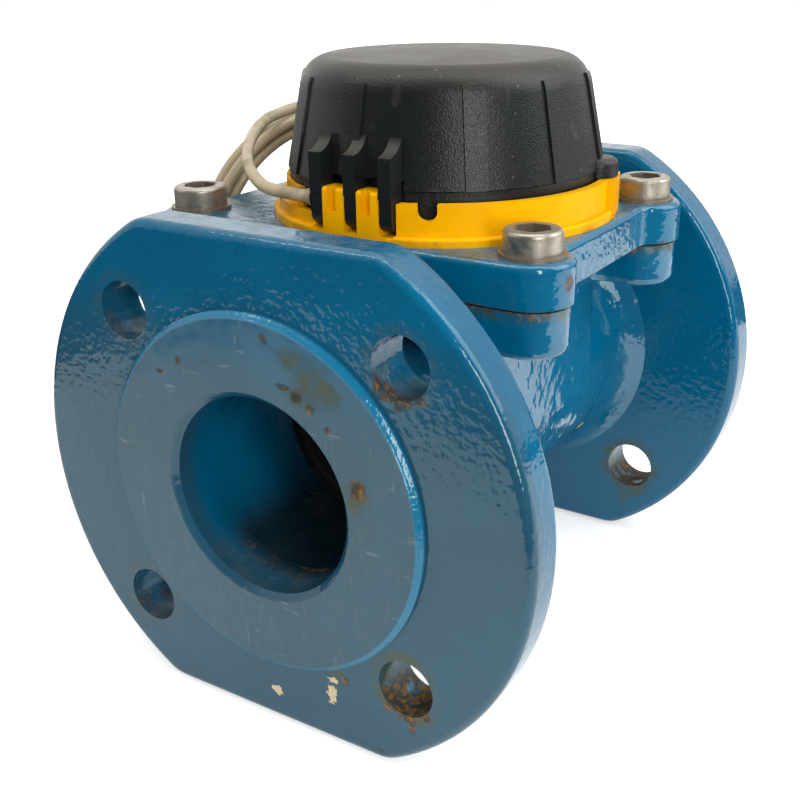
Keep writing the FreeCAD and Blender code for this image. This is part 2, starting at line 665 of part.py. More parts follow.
def blade_section(y, angle, inner_r, outer_r):
    half = BLADE_T / 2
    corners = [V(inner_r, y, AXIS_Z - half), V(outer_r, y, AXIS_Z - half),
               V(outer_r, y, AXIS_Z + half), V(inner_r, y, AXIS_Z + half)]
    wire = Part.makePolygon(corners + corners[:1])
    wire.rotate(V(0, 0, AXIS_Z), Y_DIR, angle)
    return wire


def rotor():
    hub_r, tip_r = ROTOR_HUB_D / 2, TUBE_R - ROTOR_TIP_CLEAR
    hub = cylinder(hub_r, ROTOR_L, V(0, ROTOR_FRONT, AXIS_Z), Y_DIR)
    pieces = [hub]
    for index in range(ROTOR_BLADES):
        start = 360 * index / ROTOR_BLADES
        wires = []
        for step in range(BLADE_SECTIONS):
            along = ROTOR_L * step / (BLADE_SECTIONS - 1)
            wires.append(blade_section(ROTOR_FRONT + along, start + 360 * along / BLADE_LEAD,
                                       hub_r - BLADE_ROOT_IN, tip_r))
        pieces.append(Part.makeLoft(wires, True, True))
    solid = fuse_all(pieces)
    return solid.cut(cylinder(SHAFT_D / 2, ROTOR_L, V(0, ROTOR_FRONT, AXIS_Z), Y_DIR))


def rotor_shaft():
    return cylinder(SHAFT_D / 2, SHAFT_END - SHAFT_START, V(0, SHAFT_START, AXIS_Z), Y_DIR)


def worm():
    """Single-start right-hand thread round a sleeve on the rotor's shaft."""
    root_r = WORM_PITCH_D / 2 - TOOTH_DEDENDUM
    tip_r = WORM_PITCH_D / 2 + TOOTH_ADDENDUM
    inside_r = (root_r + SHAFT_D / 2) / 2
    spread = TOOTH_ROOT_HALF + (TOOTH_ROOT_HALF - TOOTH_TIP_HALF) * (root_r - inside_r) / (tip_r - root_r)
    corners = [V(inside_r, 0, -spread), V(tip_r, 0, -TOOTH_TIP_HALF), V(tip_r, 0, TOOTH_TIP_HALF),
               V(inside_r, 0, spread)]
    path = Part.Wire(Part.makeHelix(WORM_PITCH, WORM_L, WORM_PITCH_D / 2))
    thread = path.makePipeShell([Part.makePolygon(corners + corners[:1])], True, True)
    sleeve = cylinder(root_r, WORM_L, V(0, 0, 0))
    solid = sleeve.fuse(thread).cut(cylinder(SHAFT_D / 2, 3 * WORM_L, V(0, 0, -WORM_L)))
    solid.rotate(V(0, 0, 0), X_DIR, -90)
    solid.translate(V(0, -WORM_L / 2, AXIS_Z))
    return solid


def worm_wheel():
    """Spur-toothed wheel, with a gap facing the worm at rest."""
    root_r, tip_r = WHEEL_PITCH_R - TOOTH_DEDENDUM, WHEEL_PITCH_R + TOOTH_ADDENDUM
    corners = []
    for index in range(WORM_TEETH):
        middle = math.pi + 2 * math.pi * (index + 0.5) / WORM_TEETH
        for radius, half in ((root_r, -TOOTH_ROOT_HALF), (tip_r, -TOOTH_TIP_HALF),
                             (tip_r, TOOTH_TIP_HALF), (root_r, TOOTH_ROOT_HALF)):
            angle = middle + half / radius
            corners.append(V(REG_X + radius * math.cos(angle), radius * math.sin(angle),
                             AXIS_Z - WHEEL_FACE / 2))
    wheel = Part.Face(Part.makePolygon(corners + corners[:1])).extrude(V(0, 0, WHEEL_FACE))
    return wheel.cut(cylinder(SPINDLE_D / 2, WHEEL_FACE, V(REG_X, 0, AXIS_Z - WHEEL_FACE / 2)))


def drive_spindle():
    bottom = AXIS_Z - WHEEL_FACE / 2
    rod = cylinder(SPINDLE_D / 2, DRIVER_TOP - bottom, V(REG_X, 0, bottom))
    pivot_l = PIVOT_L + SHELF_T - AXIAL_CLEAR
    return rod.fuse(cylinder(PIVOT_D / 2, pivot_l, V(REG_X, 0, bottom - pivot_l)))


def spindle_bush():
    inner_r = SPINDLE_D / 2 + RUN_CLEAR
    start = AXIS_Z + TUBE_R + RING_CLEAR
    return tube(inner_r + BUSH_WALL, inner_r, COVER_BOTTOM - start, V(REG_X, 0, start))


def driver_magnet():
    return tube(DRIVER_D / 2, SPINDLE_D / 2, DRIVER_H, V(REG_X, 0, DRIVER_BOTTOM))


def register_can():
    outer_r, inner_r = CAN_D / 2, CAN_D / 2 - CAN_WALL
    wall = turned([(0, COVER_TOP), (outer_r, COVER_TOP), (outer_r, DIAL_Z), (inner_r, DIAL_Z),
                   (inner_r, MOVEMENT_Z), (inner_r - CAN_LEDGE_W, MOVEMENT_Z),
                   (inner_r - CAN_LEDGE_W, COVER_TOP + CAN_WALL), (0, COVER_TOP + CAN_WALL)], REG_X)
    boss = cylinder(ARBOR_BOSS_D / 2, MAGNET_GAP, V(REG_X, 0, COVER_TOP + CAN_WALL))
    socket = cylinder(ARBOR_D / 2 + RUN_CLEAR, CAN_WALL, V(REG_X, 0, SOCKET_Z))
    return wall.fuse(boss).cut(socket)


def roller_window(low, high):
    radius = ROLLER_D / 2
    reach = math.sqrt(radius ** 2 - min(abs(ROLLER_Z - low), abs(ROLLER_Z - high), radius) ** 2)
    half_x, half_y = CHEEK_X, reach + ROLLER_WINDOW_CLEAR
    return block(REG_X - half_x, REG_X + half_x, ROLLER_ROW - half_y, ROLLER_ROW + half_y, low, high)


def movement_plate():
    radius = CAN_D / 2 - CAN_WALL - RUN_CLEAR
    plate = cylinder(radius, MOVEMENT_T, V(REG_X, 0, MOVEMENT_Z))
    tools = [roller_window(MOVEMENT_Z, MOVEMENT_Z + MOVEMENT_T),
             cylinder(ARBOR_D / 2 + RUN_CLEAR, MOVEMENT_T, V(REG_X, 0, MOVEMENT_Z))]
    tools += [cylinder(ARBOR_D / 2 + RUN_CLEAR, MOVEMENT_T, V(REG_X + x, y, MOVEMENT_Z))
              for x, y in HAND_PLACES]
    return cut_all(plate, tools)


def dial_plate():
    plate = cylinder(CAN_D / 2, DIAL_T, V(REG_X, 0, DIAL_Z))
    tools = [roller_window(DIAL_Z, DIAL_TOP)]
    tools += [cylinder(ARBOR_D / 2 + ARBOR_CLEAR, DIAL_T, V(REG_X + x, y, DIAL_Z))
              for x, y in HAND_PLACES + ((0.0, 0.0),)]
    return cut_all(plate, tools)


def roller_frame():
    """Two cheeks on the movement plate that carry the rollers' axle."""
    low = MOVEMENT_Z + MOVEMENT_T
    half_y = CHEEK_W / 2
    cheeks = []
    for side in (-1, 1):
        x = REG_X + side * (CHEEK_X + CHEEK_T / 2)
        cheek = block(x - CHEEK_T / 2, x + CHEEK_T / 2, ROLLER_ROW - half_y, ROLLER_ROW + half_y, low, DIAL_Z)
        hole = cylinder(ROLLER_AXLE_D / 2, CHEEK_T, V(x - CHEEK_T / 2, ROLLER_ROW, ROLLER_Z), X_DIR)
        cheeks.append(cheek.cut(hole))
    return Part.Compound(cheeks)


def roller_axle():
    half = CHEEK_X + CHEEK_T
    return cylinder(ROLLER_AXLE_D / 2, 2 * half, V(REG_X - half, ROLLER_ROW, ROLLER_Z), X_DIR)


def number_roller(index):
    """Number drum; the first one, at the reader's left, counts the most."""
    left = REG_X + ROLLER_SPAN / 2 - index * (ROLLER_W + ROLLER_GAP) - ROLLER_W
    return tube(ROLLER_D / 2, ROLLER_AXLE_D / 2 + RUN_CLEAR, ROLLER_W, V(left, ROLLER_ROW, ROLLER_Z), X_DIR)


def follower_spindle():
    low = SOCKET_Z + RUN_CLEAR
    return cylinder(ARBOR_D / 2, HAND_Z + HAND_T - low, V(REG_X, 0, low))


def follower_magnet():
    return tube(FOLLOWER_D / 2, ARBOR_D / 2, FOLLOWER_H, V(REG_X, 0, FOLLOWER_Z))


def star_wheel():
    corners = []
    for index in range(2 * STAR_POINTS):
        radius = STAR_D / 2 * (1 if index % 2 == 0 else STAR_SLIM)
        angle = math.pi * index / STAR_POINTS
        corners.append(V(REG_X + radius * math.cos(angle), radius * math.sin(angle), HAND_Z))
    star = Part.Face(Part.makePolygon(corners + corners[:1])).extrude(V(0, 0, HAND_T))
    return star.cut(cylinder(ARBOR_D / 2, HAND_T, V(REG_X, 0, HAND_Z)))


def pointer(x, y):
    """Small dial hand and the arbor that carries it."""
    centre = V(REG_X + x, y, HAND_Z)
    root = HAND_ROOT_W / 2
    corners = [centre + V(0, -HAND_L, 0), centre + V(root, HAND_TAIL, 0), centre + V(-root, HAND_TAIL, 0)]
    hand = Part.Face(Part.makePolygon(corners + corners[:1])).extrude(V(0, 0, HAND_T))
    hub = cylinder(HAND_HUB_D / 2, HAND_T, centre)
    foot = MOVEMENT_Z - AXIAL_CLEAR
    arbor = cylinder(ARBOR_D / 2, HAND_Z + HAND_T - foot, V(REG_X + x, y, foot))
    return fuse_all([hand, hub, arbor])


def register_glass():
    return cylinder(GLASS_D / 2, GLASS_T, V(REG_X, 0, GLASS_Z))


def bezel():
    """Black ring that stands on the clamp ring's floor and holds the glass."""
    outer_r, neck_r, shelf_r = BEZEL_D / 2, BEZEL_NECK_D / 2, BEZEL_SHELF_D / 2
    wall_r, glass_r = outer_r - BEZEL_WALL, GLASS_D / 2 + RUN_CLEAR
    lip_r, glass_top = glass_r - BEZEL_LIP_W, GLASS_Z + GLASS_T
    ring = turned([(outer_r, FLOOR_Z), (outer_r, BAND_Z), (neck_r, BAND_Z), (neck_r, BEZEL_TOP),
                   (lip_r, BEZEL_TOP), (lip_r, glass_top), (glass_r, glass_top), (glass_r, GLASS_Z),
                   (shelf_r, GLASS_Z), (shelf_r, DIAL_TOP), (wall_r, DIAL_TOP), (wall_r, FLOOR_Z)], REG_X)
    half = HINGE_HALF_W + FINGER_SIDE_CLEAR
    right, left = REG_X + half, REG_X + SENSOR_RIGHT - SENSOR_L - FINGER_SIDE_CLEAR
    low_cut = block(left, right, -outer_r, -SENSOR_BACK + FINGER_SIDE_CLEAR, FLOOR_Z,
                    DIAL_TOP - FINGER_SIDE_CLEAR)
    band_cut = block(REG_X - half, right, -outer_r, -KNUCKLE_INNER + FINGER_SIDE_CLEAR, FLOOR_Z, BAND_Z)
    return cut_all(ring, [low_cut, band_cut, gland_way()])


def gland_way():
    """Room for the cable gland where it passes the bezel and the clamp ring."""
    radius = GLAND_COLLAR_D / 2 + FINGER_SIDE_CLEAR
    return cylinder(radius, LIP_D, V(GLAND_START, GLAND_Y, GLAND_Z), X_DIR * -1)


def ring_wall():
    """Upright wall of the clamp ring, low along the cable's tray and notched beside the hinge."""
    wall_r, tray_top = RING_D / 2, COVER_TOP + TRAY_H
    wall = tube(wall_r, wall_r - RING_WALL_T, RING_H, V(REG_X, 0, COVER_TOP))
    wall = wall.cut(sector(TRAY_START, TRAY_END, LIP_D, tray_top, RING_TOP))
    inner_r = BEZEL_D / 2 + FINGER_SIDE_CLEAR
    inner = tube(inner_r + TRAY_WALL_T, inner_r, RING_H, V(REG_X, 0, COVER_TOP))
    inner = inner.common(sector(TRAY_START, TRAY_WALL_END, LIP_D, COVER_TOP, RING_TOP))
    notch_z = RING_TOP - NOTCH_DEPTH + NOTCH_W / 2
    notch = cylinder(NOTCH_W / 2, LIP_D, V(REG_X, 0, notch_z), X_DIR)
    notch = notch.fuse(block(REG_X, REG_X + LIP_D, -NOTCH_W / 2, NOTCH_W / 2, notch_z, RING_TOP))
    return [wall.cut(around_register(notch, NOTCH_ANGLE)), inner]


def hinge_knuckles():
    """Block of knuckles that stands between the lid's fingers, rounded along its front."""
    solid = block(REG_X - FINGER_PITCH, REG_X + FINGER_PITCH, -HINGE_FRONT, -KNUCKLE_INNER,
                  COVER_TOP, KNUCKLE_TOP)
    front = edges_at(solid, "Y", -HINGE_FRONT, lambda e: abs(e.BoundBox.ZMin - KNUCKLE_TOP) < 1e-3)
    return solid.makeFillet(KNUCKLE_TOP_R, front)


def knuckle_cuts():
    """Slots for the lid's fingers and a groove down each knuckle between them."""
    back, low = HINGE_Y + HINGE_R + 2 * FINGER_SIDE_CLEAR, HINGE_Z - HINGE_R - 2 * FINGER_SIDE_CLEAR
    cuts = [block(x - SLOT_W / 2, x + SLOT_W / 2, -LIP_D, back, low, KNUCKLE_TOP) for x in FINGER_XS]
    for side in (-1, 1):
        left = REG_X + side * FINGER_PITCH / 2 - KNUCKLE_GROOVE_LEFT
        cuts.append(block(left, left + KNUCKLE_GROOVE_W, -HINGE_FRONT, -HINGE_FRONT + KNUCKLE_GROOVE_DEPTH,
                          COVER_TOP + KNUCKLE_GROOVE_UP, KNUCKLE_TOP))
    return cuts


def clamp_ring():
    lip_r = LIP_D / 2
    lip = tube(lip_r, FLOOR_R, LIP_T, V(REG_X, 0, COVER_TOP))
    lip = lip.makeFillet(LIP_EDGE_R, edges_at(lip, "Z", FLOOR_Z, lambda e: e.BoundBox.XLength > RING_D))
    post = block(REG_X + (RING_D - RING_WALL_T) / 2, REG_X + lip_r, -POST_W / 2, POST_W / 2,
                 COVER_TOP, RING_TOP)
    posts = [around_register(post, angle) for angle in POST_ANGLES]
    hinge_zone = block(REG_X - HINGE_HALF_W, REG_X + HINGE_HALF_W, -LIP_D, -HINGE_FRONT,
                       COVER_TOP, KNUCKLE_TOP)
    ring = fuse_all([lip] + ring_wall() + posts).cut(hinge_zone)
    tools = knuckle_cuts() + [gland_way(), sensor_block(RUN_CLEAR)]
    tools.append(cylinder(PIN_D / 2, 2 * FINGER_PITCH, V(REG_X - FINGER_PITCH, HINGE_Y, HINGE_Z), X_DIR))
    hole_r = RING_SCREW_D / 2 + THREAD_CLEAR
    tools += [cylinder(hole_r, LIP_T, V(x, y, COVER_TOP)) for x, y in ring_screw_places()]
    return cut_all(fuse_all([ring, hinge_knuckles()]), tools)


def ring_screw(x, y):
    head = cylinder(RING_SCREW_HEAD_D / 2, RING_SCREW_HEAD_H, V(x, y, FLOOR_Z))
    length = RING_SCREW_L - THREAD_CLEAR
    shank = cylinder(RING_SCREW_D / 2 - THREAD_CLEAR, length, V(x, y, FLOOR_Z - length))
    slot = block(x - RING_SCREW_HEAD_D, x + RING_SCREW_HEAD_D, y - RING_SCREW_SLOT_W / 2,
                 y + RING_SCREW_SLOT_W / 2, FLOOR_Z + RING_SCREW_HEAD_H / 2, FLOOR_Z + RING_SCREW_HEAD_H)
    return head.fuse(shank).cut(slot)


def lid_profile(grow):
    """Outer line of the lid, from the skirt up to the middle of the crown."""
    skirt = V(REG_X + LID_D / 2 + grow, 0, SKIRT_Z)
    shoulder = V(REG_X + LID_SHOULDER_D / 2 + grow, 0, SHOULDER_Z)
    top = V(REG_X + LID_TOP_D / 2, 0, LID_TOP_Z + grow)
    middle = V(REG_X, 0, LID_TOP_Z + LID_CROWN + grow)
    slope = (shoulder - skirt).normalize()
    bulge = (top + shoulder) / 2
    outward = V(bulge.z - shoulder.z, 0, shoulder.x - bulge.x).normalize()
    sagitta = (top - shoulder).Length * math.tan(slope.getAngle(top - shoulder) / 2) / 2
    corner = Part.Arc(shoulder, bulge + outward * sagitta, top)
    dome = Part.Arc(top, middle, V(2 * REG_X - top.x, 0, top.z))
    crown = dome.toShape(dome.FirstParameter, (dome.FirstParameter + dome.LastParameter) / 2)
    return [Part.LineSegment(skirt, shoulder).toShape(), corner.toShape(), crown]


def turned_cap(grow):
    """Solid cap under the lid's line, closed down to the skirt's plane."""
    line = lid_profile(grow)
    skirt, middle = line[0].Vertexes[0].Point, line[-1].Vertexes[-1].Point
    base = V(REG_X, 0, skirt.z)
    edges = line + [Part.LineSegment(middle, base).toShape(), Part.LineSegment(base, skirt).toShape()]
    return Part.Face(Part.Wire(edges)).revolve(V(REG_X, 0, 0), Z_DIR, 360)


def finger_outline(x):
    """Side of one hinge finger: round at the pin, upright in front, hollowed into the lid above."""
    front, back = -HINGE_FRONT, -FINGER_BACK
    step_z, knee_z, top_z = SKIRT_Z - FINGER_STEP_DROP, SKIRT_Z + FINGER_KNEE_H, SKIRT_Z + FINGER_TOP_H
    pin_back = HINGE_Y + HINGE_R - FINGER_STEP
    low_front, low_back = V(x, front + FINGER_STEP, HINGE_Z), V(x, pin_back, HINGE_Z)
    low = V(x, HINGE_Y, HINGE_Z - HINGE_R + FINGER_STEP)
    top, knee = V(x, back, top_z), V(x, front, knee_z)
    inward = V(0, top_z - knee_z, front - back).normalize()
    slope = Part.Arc(top, (top + knee) / 2 + inward * FINGER_HOLLOW, knee)
    behind = [low_back, V(x, pin_back, step_z - HINGE_R), V(x, back, SKIRT_Z), top]
    ahead = [knee, V(x, front, step_z), V(x, front + FINGER_STEP, step_z), low_front]
    edges = [Part.LineSegment(a, b).toShape() for a, b in zip(behind, behind[1:])]
    edges.append(slope.toShape())
    edges += [Part.LineSegment(a, b).toShape() for a, b in zip(ahead, ahead[1:])]
    edges.append(Part.Arc(low_front, low, low_back).toShape())
    return Part.Face(Part.Wire(edges))


def lid_ribs():
    """Low upright ribs that follow the lid's side, in a mirrored row on each side of one line."""
    strip = block(REG_X, REG_X + LID_D, -RIB_W / 2, RIB_W / 2, SKIRT_Z, SHOULDER_Z + RIB_RISE)
    strips = [around_register(strip, RIB_MIDDLE + side * (RIB_FIRST + index * RIB_STEP))
              for index in range(RIBS_EACH_SIDE) for side in (-1, 1)]
    return turned_cap(RIB_H).common(Part.Compound(strips)).Solids


def lid_ears():
    """Round lugs that come down over the clamp ring's posts."""
    ear = cylinder(EAR_W / 2, EAR_H, V(REG_X + EAR_R - EAR_W / 2, 0, EAR_LOW_Z))
    ear = ear.makeFillet(EAR_EDGE_R, edges_at(ear, "Z", EAR_LOW_Z + EAR_H))
    return [around_register(ear, angle) for angle in POST_ANGLES]


def lid():
    cap = fuse_all([turned_cap(0)] + lid_ribs() + lid_ears())
    hollow = cylinder(BEZEL_D / 2 + FINGER_SIDE_CLEAR, SKIRT_Z - EAR_LOW_Z, V(REG_X, 0, EAR_LOW_Z))
    sweep_half = HINGE_HALF_W + FINGER_SIDE_CLEAR
    sweep = cylinder(HINGE_SWEEP_R, 2 * sweep_half, V(REG_X - sweep_half, HINGE_Y, HINGE_Z), X_DIR)
    cap = cut_all(cap, [turned_cap(-LID_WALL), hollow, sweep])
    fingers = [finger_outline(x - FINGER_W / 2).extrude(V(FINGER_W, 0, 0)) for x in FINGER_XS]
    pin_hole = cylinder(PIN_D / 2 + RUN_CLEAR, LID_D, V(REG_X - LID_D / 2, HINGE_Y, HINGE_Z), X_DIR)
    return fuse_all([cap] + fingers).cut(pin_hole)


def hinge_pin():
    half = FINGER_PITCH + FINGER_W / 2
    return cylinder(PIN_D / 2, 2 * half, V(REG_X - half, HINGE_Y, HINGE_Z), X_DIR)


def sensor_block(grow):
    right = REG_X + SENSOR_RIGHT
    return block(right - SENSOR_L - grow, right + grow, -SENSOR_FRONT - grow, -SENSOR_BACK + grow,
                 FLOOR_Z, FLOOR_Z + SENSOR_H + grow)


def cable_gland():
    collar = cylinder(GLAND_COLLAR_D / 2, GLAND_COLLAR_L, V(GLAND_START, GLAND_Y, GLAND_Z), X_DIR * -1)
    sleeve = cylinder(GLAND_D / 2, GLAND_L, V(GLAND_START, GLAND_Y, GLAND_Z), X_DIR * -1)
    return collar.fuse(sleeve)


def rounded_path(points):
    """Straight runs joined by tangent arcs, each as large as its two runs allow."""
    edges, radii = [], []
    start = points[0]
    for before, corner, after in zip(points, points[1:], points[2:]):
        back, ahead = before - corner, after - corner
        reach = BEND_SHARE * min(back.Length, ahead.Length)
        turn = math.pi - back.getAngle(ahead)
        radii.append(reach / math.tan(turn / 2))
        into, out_of = corner + back.normalize() * reach, corner + ahead.normalize() * reach
        towards = (back + ahead).normalize()
        depth = radii[-1] * (1 / math.cos(turn / 2) - 1)
        bend = Part.Arc(into, corner + towards * depth, out_of)
        edges += [Part.LineSegment(start, into).toShape(), bend.toShape()]
        start = out_of
    edges.append(Part.LineSegment(start, points[-1]).toShape())
    return Part.Wire(edges), radii


def cable_lead():
    points = [V(GLAND_END, GLAND_Y, GLAND_Z)] + [V(x, y, COVER_TOP + z) for x, y, z in LEAD_POINTS]
    path, radii = rounded_path(points)
    section = Part.Wire(Part.makeCircle(CABLE_D / 2, points[0], points[1] - points[0]))
    solid = path.makePipeShell([section], True, False)
    section_area = math.pi * CABLE_D ** 2 / 4
    print("cable lead radii", [round(r, 1) for r in radii], "length", round(path.Length, 1))
    print("volume against section times length", round(solid.Volume / (path.Length * section_area), 4))
    return solid


def cable_coil():
    yaw, lean = math.radians(COIL_YAW), math.radians(COIL_LEAN)
    across = V(math.cos(yaw) * math.cos(lean), -math.sin(yaw) * math.cos(lean), -math.sin(lean))
    centre = V(COIL_CENTRE[0], COIL_CENTRE[1], COVER_TOP + COIL_CENTRE[2])
    return Part.makeTorus(COIL_D / 2, COIL_BUNDLE_D / 2, centre, across)


def build():
    nodes = {
        "body_casting": body_casting(),
        "inlet_flange": pipe_flange(180),
        "outlet_flange": pipe_flange(0),
        "cover_gasket": cover_gasket(),
        "cover_plate": cover_plate(),
        "cover_screws": Part.Compound([cover_screw(x, y) for x, y in SCREW_PLACES]),
        "cover_washers": Part.Compound([cover_washer(x, y) for x, y in SCREW_PLACES]),
        "pressure_cup": pressure_cup(),
        "insert_tube": insert_tube(),
        "insert_screws": Part.Compound([insert_screw(x, y) for x, y in pedestal_screw_places()]),
        "tube_seals": Part.Compound([tube_seal(side) for side in (-1, 1)]),
        "flow_straightener": flow_straightener(),
        "front_bush": pivot_bush(STRAIGHTENER_END - BUSH_L),
        "rear_carrier": rear_carrier(),
        "rear_bush": pivot_bush(CARRIER_FRONT),
        "rotor": rotor(),
        "rotor_shaft": rotor_shaft(),
        "worm": worm(),
        "worm_wheel": worm_wheel(),
        "drive_spindle": drive_spindle(),
        "spindle_bush": spindle_bush(),
        "driver_magnet": driver_magnet(),
        "register_can": register_can(),
        "movement_plate": movement_plate(),
        "dial_plate": dial_plate(),
        "roller_frame": roller_frame(),
        "roller_axle": roller_axle(),
        "follower_spindle": follower_spindle(),
        "follower_magnet": follower_magnet(),
        "star_wheel": star_wheel(),
        "register_glass": register_glass(),
        "bezel": bezel(),
        "clamp_ring": clamp_ring(),
        "ring_screws": Part.Compound([ring_screw(x, y) for x, y in ring_screw_places()]),
        "lid": lid(),
        "hinge_pin": hinge_pin(),
        "pulse_sensor": sensor_block(0),
        "cable_gland": cable_gland(),
        "cable_lead": cable_lead(),
        "cable_coil": cable_coil(),
    }
    for index in range(ROLLER_COUNT):
        nodes["number_roller_%d" % (index + 1)] = number_roller(index)
    for index, (x, y) in enumerate(HAND_PLACES):
        nodes["pointer_%d" % (index + 1)] = pointer(x, y)
    return nodes


def main():
    os.makedirs("parts", exist_ok=True)
    for name, shape in build().items():
        shape.exportStep("parts/%s.step" % name)


main()
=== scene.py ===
"""Looks of a flanged turbine water meter: enamel, plastics, pulse cable, register and studio."""

import math
from functools import cached_property, partialmethod

import bmesh
import bpy
from bpy.props import (FloatProperty, FloatVectorProperty, IntProperty, PointerProperty,
                       StringProperty)
from bpy.types import Operator, Panel, PropertyGroup
from mathutils import Matrix, Vector


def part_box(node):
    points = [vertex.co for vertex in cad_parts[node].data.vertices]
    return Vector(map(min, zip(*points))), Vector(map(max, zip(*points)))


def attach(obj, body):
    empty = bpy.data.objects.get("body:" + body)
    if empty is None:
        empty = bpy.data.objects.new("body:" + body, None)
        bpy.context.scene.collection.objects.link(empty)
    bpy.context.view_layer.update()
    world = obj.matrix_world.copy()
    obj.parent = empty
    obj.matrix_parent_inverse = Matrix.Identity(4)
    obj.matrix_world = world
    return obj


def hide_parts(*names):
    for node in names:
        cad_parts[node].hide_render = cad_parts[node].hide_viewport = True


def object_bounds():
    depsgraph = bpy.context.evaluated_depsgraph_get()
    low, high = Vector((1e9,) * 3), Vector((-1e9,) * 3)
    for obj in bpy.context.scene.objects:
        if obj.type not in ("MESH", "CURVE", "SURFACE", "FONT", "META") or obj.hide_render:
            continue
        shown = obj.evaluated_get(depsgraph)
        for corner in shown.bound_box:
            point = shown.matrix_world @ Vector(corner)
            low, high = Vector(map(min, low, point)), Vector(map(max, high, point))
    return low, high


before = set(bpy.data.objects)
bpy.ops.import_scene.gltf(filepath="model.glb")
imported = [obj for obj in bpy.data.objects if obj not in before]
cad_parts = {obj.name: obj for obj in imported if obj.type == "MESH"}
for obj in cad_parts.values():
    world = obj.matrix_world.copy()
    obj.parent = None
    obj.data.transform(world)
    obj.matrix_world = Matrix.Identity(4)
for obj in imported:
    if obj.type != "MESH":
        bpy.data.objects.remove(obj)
CAD_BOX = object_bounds()

bl_info = {
    "name": "Turbine Water Meter Looks",
    "version": (1, 0, 0),
    "blender": (4, 5, 0),
    "location": "View3D > Sidebar > Water Meter",
    "description": "Dresses the packed water meter: finishes, cable, register print and studio",
    "category": "Object",
}

MM = 0.001

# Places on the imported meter, read from its own nodes.
FLOOR_Z = CAD_BOX[0].z
FLANGE_LOW, FLANGE_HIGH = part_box("inlet_flange")
AXIS_Z = (FLANGE_LOW.z + FLANGE_HIGH.z) / 2
AXIS_MM = AXIS_Z / MM
RAISED_Y = FLANGE_LOW.y / MM
COVER_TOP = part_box("cover_plate")[1].z
COVER_MM = COVER_TOP / MM
DIAL_LOW, DIAL_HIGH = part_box("dial_plate")
DIAL_CENTRE = (DIAL_LOW + DIAL_HIGH) / 2
GLAND_LOW, GLAND_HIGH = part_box("cable_gland")
GLAND_END = Vector((GLAND_LOW.x, *((GLAND_LOW + GLAND_HIGH) / 2).yz))
SEAT_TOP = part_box("body_casting")[1].z / MM

# Sizes of the casting, its wear and its painted shade, in millimetres.
BOLT_OFFSET = 51.27
BOLT_R = 9.5
BORE_R = 32.5
BORE_MOUTH = 2.0
RAISED_R = 59.0
FLANGE_FACE = 97.0
SCREW_PLACE = (64.0, 44.4)
FILM_HIGH, FILM_LOW = 150.0, 105.0
# Painted shade in the bore grows across it, from its left wall to its right.
BORE_SHADE_LEFT, BORE_SHADE_RIGHT = -33.0, -18.0
BLOT_DEPTH = 4.0

# The cable's way from the gland to its coil, in millimetres, with heights above the cover plate.
LEAD_ROUTE = (
    (-29.0, -50.0, 10.6), (-37.8, -46.0, 13.0), (-46.0, -39.5, 15.2), (-53.0, -31.5, 17.5),
    (-59.0, -23.0, 20.0), (-64.0, -13.0, 22.5), (-67.3, -2.5, 25.3), (-68.2, 8.0, 26.2),
)
COIL_CENTRE = Vector((-0.0672, 0.0287, COVER_TOP - 0.0247))
COIL_YAW = math.radians(25.7)
COIL_LEAN = math.radians(6.4)
COIL_JOIN = math.radians(104.0)
POINTS_PER_TURN = 24

# How unevenly the turns lie: a share of their spread, its pace in radians a turn, and its start.
SWAY, SWAY_PACE, SWAY_START = 0.05, 2.3, 0.6


def colour_prop(label, text, value):
    """A colour that a user may change."""
    return FloatVectorProperty(name=label, description=text, subtype="COLOR", size=3, default=value,
                               min=0.0, max=1.0)


def length_prop(label, text, value):
    """A length in metres that a user may change."""
    return FloatProperty(name=label, description=text, unit="LENGTH", subtype="DISTANCE",
                         default=value)


def angle_prop(label, text, degrees):
    """An angle that a user may change."""
    return FloatProperty(name=label, description=text, unit="ROTATION", subtype="ANGLE",
                         default=math.radians(degrees))


def amount_prop(label, text, value, low=0.0):
    """A plain share or strength that a user may change."""
    return FloatProperty(name=label, description=text, default=value, min=low)


class CameraSettings(PropertyGroup):
    azimuth: angle_prop("Azimuth", "Turn of the camera to the inlet's right", 31.89)
    elevation: angle_prop("Elevation", "Angle of the camera above the pipe axis", 20.30)
    roll: angle_prop("Roll", "Tilt of the picture", -0.61)
    distance: length_prop("Distance", "From the camera to the middle of the pipe axis", 0.42078)
    aside: length_prop("Aside", "How far the meter is right of the lens axis", 0.00281)
    above: length_prop("Above", "How far the meter is above the lens axis", -0.01274)
    lens: FloatProperty(name="Lens", description="Focal length on a 36 mm sensor", unit="CAMERA",
                        default=50.572)
    shift_x: amount_prop("Shift X", "Sideways framing, in picture widths", -0.0235, -1.0)
    shift_y: amount_prop("Shift Y", "Upright framing, in picture widths", -0.0518, -1.0)


class CableSettings(PropertyGroup):
    diameter: length_prop("Diameter", "Outside of the cable's sheath", 0.0042)
    coil_diameter: length_prop("Coil diameter", "Across the middle of the coil's turns", 0.0986)
    spread: length_prop("Spread", "From the turns to the middle of their bundle", 0.0043)
    twist: angle_prop("Twist", "How far each turn moves round the bundle", 65.5)
    fan: amount_prop("Fan", "How much wider the loose side is", 0.65)
    fan_side: angle_prop("Fan side", "Where round the coil the loose side is", 160.0)
    turns: amount_prop("Turns", "Turns in the coil", 4.33, 1.0)
    sheath: colour_prop("Sheath", "Grey sheath with a warm cast", (0.425, 0.345, 0.215))
    core_length: length_prop("Core length", "Bare length of the wires at the far end", 0.016)


